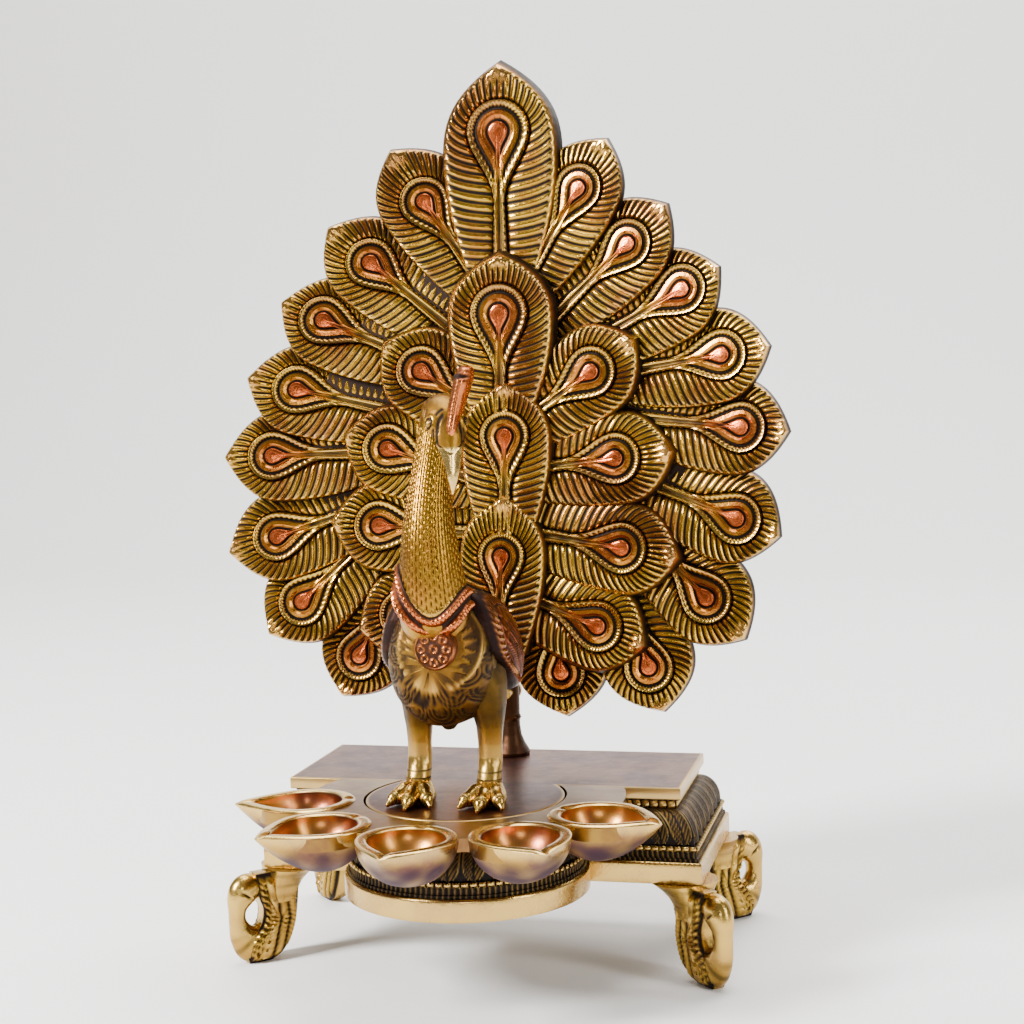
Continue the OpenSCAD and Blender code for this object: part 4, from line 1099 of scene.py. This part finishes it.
def feather(spot, turn, root, past, width, proud, thick, tilt=0, widest=0.62):
    """One feather, its eye at a spot on the fan and its tip turned from upright, in degrees.

    root and past are its lengths below and above the eye, proud is how far it stands out, and
    tilt is how far its two edges are lapped over and under their neighbours.
    """
    eye_r = width * EYE_SHARE
    inset = 0.93 if proud == 0 else 0.87
    flare = FLARE_SHARE * eye_r
    rim_line, eye_line, drop_way, drop_far = feather_lines(root, past, width, eye_r, flare, widest)

    def skin(i, j):
        eye, barb, fall, back = FEATHER_ROWS[j.astype(int)].T
        share = i / FEATHER_STEPS
        eye_x, eye_y = at_share(eye_line, share)
        sweep = share + 0.012 * np.sin(share * 2 * math.pi) * barb**2
        rim_x, rim_y = at_share(rim_line, sweep)
        mid_y = np.interp(eye_y, [-root, -flare, -0.86 * flare, eye_r], [-root, -flare, 0, 0])
        x = np.where(eye < 1, eye_x * eye, eye_x + (rim_x - eye_x) * barb)
        up = np.where(eye < 1, mid_y + (eye_y - mid_y) * eye, eye_y + (rim_y - eye_y) * barb)
        x = np.where(back > 0, rim_x * (1 - back), x)
        up = np.where(back > 0, rim_y + (np.minimum(rim_y, past * 0.5) - rim_y) * back, up)
        # Barbs: five steps to each, the first one cut in
        comb = np.array([0.0, 0.4, 1.0, 1.0, 0.4])[(i % BARB_STEPS).astype(int)]
        along = share * 2 * HALF_BARBS - HALF_BARBS
        nub = np.exp(-(along / 1.5) ** 4) * eased(barb, 0.5, 0.8)
        nub_low = peak(along - 1.1 * np.sign(along + 0.01), 0.5) * (barb < 0.45)
        comb = comb + (1 - comb) * nub
        crown = 0.9 * (1 - 0.7 * barb**2.4) + 0.9 * nub
        ribs = crown + 0.75 * comb - 0.75
        ribs = np.where(barb < 0.02, -0.75, np.where(barb < 0.08, ribs * 0.5 - 0.3, ribs))
        # The eye's rings, which draw out into a double stem with milled edges
        open_eye = eased(eye_y, -flare * 1.02, -flare * 0.8)
        ring_at = np.hypot(x, up) / np.interp(np.arctan2(np.abs(x), -up), drop_way, drop_far)
        ring_at = np.where((eye < 1) & (up > -flare), np.minimum(ring_at, 1), 1)
        ring_at = np.where(open_eye > 0.99, np.maximum(ring_at, eye), ring_at)
        ring = np.interp(ring_at, *RING_LIFTS)
        ring = np.where(eye > 0.97, np.minimum(ring, (1 - eye) * 40), ring)
        milled = wave(i * math.pi / 2)
        ring = ring - 0.5 * milled * (np.abs(eye - 0.80) < 0.04) * open_eye
        stem_lift = np.interp(eye, *STEM_LIFTS)
        stem_lift = stem_lift - 0.55 * milled * (np.abs(eye - 0.86) < 0.1)
        middle = stem_lift + (ring - stem_lift) * open_eye
        lift = np.where(eye < 1, middle, ribs)
        rounded = np.interp(fall, [0, 0.06, 0.18, 0.5, 0.9, 1], [0, 0.6, 1.6, 0, 0, 0])
        lift = np.where(fall > 0, ribs * (fall < 0.1) * 0.6 - rounded, lift)
        lift = np.where(fall > 0.3, -thick * (0.25 + 0.75 * fall), lift)
        rim_in = np.interp(barb + fall, [0, 1, 1.06, 1.18, 1.5, 1.9, 3],
                           [1, inset, *(inset + (1 - inset) * np.array([0.2, 0.45, 0.75, 1, 1]))])
        up = np.where(up > 0, up * rim_in, up)
        tilt_lift = tilt * x / (width / 2) * (1 - back)
        way = math.radians(turn)
        across = spot[0] + math.cos(way) * x * rim_in + math.sin(way) * up
        high = spot[1] - math.sin(way) * x * rim_in + math.cos(way) * up
        # How high, coppery and polished each part is
        dip = np.interp(ring_at, *RING_HEIGHTS)
        dip = np.where(eye > 0.97, dip * (1 - eye) / 0.03, dip)
        dip = dip + (np.clip(stem_lift / 1.5, 0, 1) - dip) * (1 - open_eye)
        height = np.where(eye < 1, dip - 0.45 * milled * (np.abs(eye - 0.78) < 0.05), comb * 0.98)
        height = np.where((barb < 0.02) & (eye == 1), 0, height)
        height = np.where(nub_low > 0.5, height * 0.7, height)
        # The sides over the rim are painted darker, partly as bare brass and partly as painted
        # shade
        height = np.where(fall > 0, np.interp(fall, [0, 0.1, 0.2, 0.5, 1],
                                              [0.8, 0.6, 0.3, 0.16, 0.1]), height)
        height = np.where(back > 0, 0.35, height)
        in_ring = (eye < 1) & (up > -flare)
        heart = (1 - eased(ring_at, 0.29, 0.34)) * in_ring
        # The sides are coppery too, part of the same partly painted shade between the tiers
        copper = np.where(fall > 0.15, 0.3, heart + 0.35 * in_ring * (ring_at < 0.66) + 0.3 * nub)
        polish = np.where(eye < 1, eased(ring_at, 0.78, 0.86) * 0.2, 0.3 * nub
                          + 0.2 * eased(barb, 0.8, 0.95)) * (fall < 0.1)
        return on_fan(across, high, proud + lift + tilt_lift), (height, copper, polish)

    return shaped("feather", FEATHER_STEPS, len(FEATHER_ROWS) - 1, skin)


# Places of the feathers' eyes from the fan's middle, the way each points from upright, and how
# far its tip is past its eye
outer_right = [(33, 99, 32, 22.3), (52, 77, 48, 21.9), (73, 59, 62, 17.0), (88, 34, 82, 19.2),
               (95, 7, 96, 19.0), (93, -27, 112, 18.3), (81, -57, 136, 21.8),
               (58, -84, 162, 18.5), (23, -87, 174, 17.9)]
outer_left = [(-28, 97, -34, 25.6), (-50, 74, -50, 23.0), (-69, 52, -66, 19.0),
              (-80, 25, -76, 21.0), (-90, -1, -91, 19.7), (-89, -33, -108, 21.1),
              (-80, -59, -134, 19.7), (-58, -81, -155, 18.4), (-20, -87, -176, 17.9)]
inner_right = [(38, 29, 56, 22.9), (47, -4, 84, 25.0), (49, -38, 99, 24.5), (39, -68, 112, 21.4)]
inner_left = [(-29, 31, -54, 20.7), (-43, 1, -70, 20.1), (-47, -29, -85, 21.0),
              (-38, -64, -108, 21.0)]
# The middle ones also say how wide each is
centre = [(3, 52, 0, 44, 25), (4.5, 5, 1, 38, 23), (2.5, -41, 3, 36, 26)]

feather_brass = cast_brass("feather_brass", gold=(0.48, 0.27, 0.024), patina=(0.007, 0.003, 0.0012),
                           blush=(0.24, 0.08, 0.016), shine=0.24, blush_share=0.9)
INNER_ROOT, INNER_WIDTH, INNER_PROUD, INNER_T = 44, 38, 6.0, 5.8
OUTER_ROOT, OUTER_WIDTH = 46, 37
CENTRE_ROOT, CENTRE_PROUD, CENTRE_STEP = 38, 9.4, 0.8


def tier(name, places, root, width, proud, thick, lap):
    """Feathers side by side, each lapped over the one below it."""
    return joined(name, [feather((x, z), turn, root, past, width, proud, thick,
                                 math.copysign(lap, x)) for x, z, turn, past in places])


top_feather = feather((2.4, 122), 0, 56, 28.5, 48, 2.6, FAN_T + 2.6, widest=0.54)
put(joined("top_feather", [top_feather]), feather_brass, "brass", "fan_casting")
for side, places in (("right", outer_right), ("left", outer_left)):
    put(tier("outer_feathers_" + side, places, OUTER_ROOT, OUTER_WIDTH, 0, FAN_T, lap=3),
        feather_brass, "brass", "fan_casting")
for side, places in (("right", inner_right), ("left", inner_left)):
    put(tier("inner_feathers_" + side, places, INNER_ROOT, INNER_WIDTH, INNER_PROUD, INNER_T,
             lap=1), feather_brass, "brass", "inner_feathers_" + side)
put(joined("centre_feathers", [
    feather((x, z), turn, CENTRE_ROOT, past, width, CENTRE_PROUD + CENTRE_STEP * step,
            INNER_T + CENTRE_STEP * step, widest=0.56)
    for step, (x, z, turn, width, past) in enumerate(centre)]),
    feather_brass, "brass", "centre_feathers")
HUB_R, HUB_AROUND = 76, 160
HUB_ROWS = np.array([(0, 0), (0.5, 0), (0.97, 0), (1, 0.25), (1, 0.8), (0.97, 1), (0.9, 1),
                     (0.75, 1), (0.5, 1), (0.25, 1), (0, 1)])


def hub_skin(i, j):
    share, back = HUB_ROWS[j.astype(int)].T
    angle = turned(i, HUB_AROUND)
    radius = HUB_R * share
    ripple = 0.25 * np.sin(angle * 11 + radius * 0.3) * back * (share > 0.2)
    # The face, seen only in the gaps between feathers, is painted darker than the rim: painted
    # shade
    return on_fan(radius * np.sin(angle), radius * np.cos(angle),
                  -0.6 - (FAN_T + 1.2) * back - ripple), (0.45 - 0.3 * (share < 0.99), 0, 0)


put(shaped("fan_back", HUB_AROUND, len(HUB_ROWS) - 1, hub_skin), strut_brass, "dark_brass",
    "fan_casting")


# ---- Fixings ----
# Screws, nuts and washers of plain turned brass, as they come, hold the lamp together. They keep
# the forms that they have in the part.
fixing_brass = cast_brass("fixing_brass", gold=(0.58, 0.33, 0.06), patina=(0.10, 0.05, 0.02),
                          blush=(0.4, 0.2, 0.04), shine=0.26, blush_share=0.4, grain=0.4,
                          toned=False)
for name in ("plate_screws", "foot_nuts", "leg_washers", "leg_nuts", "strut_screw", "fan_screws",
             "tail_bolt"):
    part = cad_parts[name]
    part.data.materials.clear()
    part.data.materials.append(fixing_brass)


# ---- Table, light and camera ----
# A pale matt sweep of paper to stand on. A softbox at the upper left is the key, weaker ones stand
# at the right, in front, overhead and behind, and a wide one lights the paper's rise.
SWEEP_BACK, SWEEP_WIDE = 1.2, 6
sweep_form = bmesh.new()
profile = [(-2.5, 0), *((SWEEP_BACK + 0.5 * math.sin(a), 0.5 - 0.5 * math.cos(a))
                        for a in np.linspace(0, math.pi / 2, 16)), (SWEEP_BACK + 0.5, 4)]
near = [sweep_form.verts.new((-SWEEP_WIDE / 2, y, z)) for y, z in profile]
edges = [sweep_form.edges.new(pair) for pair in zip(near, near[1:])]
pulled = bmesh.ops.extrude_edge_only(sweep_form, edges=edges)["geom"]
bmesh.ops.translate(sweep_form, vec=(SWEEP_WIDE, 0, 0),
                    verts=[v for v in pulled if isinstance(v, bmesh.types.BMVert)])
bmesh.ops.recalc_face_normals(sweep_form, faces=sweep_form.faces)
sweep_mesh = meshed("sweep", sweep_form)
sweep_mesh.shade_smooth()
sweep = linked("sweep", sweep_mesh)
paper = bpy.data.materials.new("paper")
paper.use_nodes = True
paper_shader = paper.node_tree.nodes["Principled BSDF"]
paper_shader.inputs["Base Color"].default_value = (0.9, 0.89, 0.87, 1)
paper_shader.inputs["Roughness"].default_value = 0.85
sweep_mesh.materials.append(paper)


LAMP_MIDDLE = (0, 0, 0.17)


def softbox(name, place, size, power, aim=LAMP_MIDDLE):
    light = bpy.data.lights.new(name, "AREA")
    light.shape, light.size, light.size_y = "RECTANGLE", *size
    light.energy = power
    lamp = linked(name, light)
    lamp.location = place
    lamp.rotation_euler = (Vector(aim) - Vector(place)).to_track_quat("-Z", "Y").to_euler()


softbox("key", (-0.95, -0.75, 0.95), (0.3, 0.45), 60)
softbox("right", (1.15, -0.45, 0.6), (0.2, 0.9), 9)
softbox("front", (0.35, -1.6, 0.55), (0.4, 0.25), 4)
softbox("top", (0.0, 0.0, 1.5), (0.6, 0.6), 12)
softbox("rear", (0.5, 1.0, 0.9), (0.6, 0.5), 7)
softbox("backdrop", (0, 0.9, 2.4), (3.0, 0.6), 70, aim=(0, 1.5, 0.3))
world = bpy.data.worlds.new("studio")
world.use_nodes = True
world.node_tree.nodes["Background"].inputs["Color"].default_value = (1, 0.99, 0.97, 1)
world.node_tree.nodes["Background"].inputs["Strength"].default_value = 0.2
bpy.context.scene.world = world

CAMERA_AT = (0.1787, -0.6379, 0.2272)
CAMERA_YAW, CAMERA_PITCH, CAMERA_ROLL = 0.246, 0.086, -0.029
camera_data = bpy.data.cameras.new("camera")
camera_data.lens, camera_data.sensor_width = 64.92, 36
camera = linked("camera", camera_data)
ahead = Vector((-math.sin(CAMERA_YAW) * math.cos(CAMERA_PITCH),
                math.cos(CAMERA_YAW) * math.cos(CAMERA_PITCH), -math.sin(CAMERA_PITCH)))
camera.matrix_world = (Matrix.Translation(CAMERA_AT)
                       @ ahead.to_track_quat("-Z", "Y").to_matrix().to_4x4()
                       @ Matrix.Rotation(CAMERA_ROLL, 4, "Z"))
bpy.context.scene.camera = camera
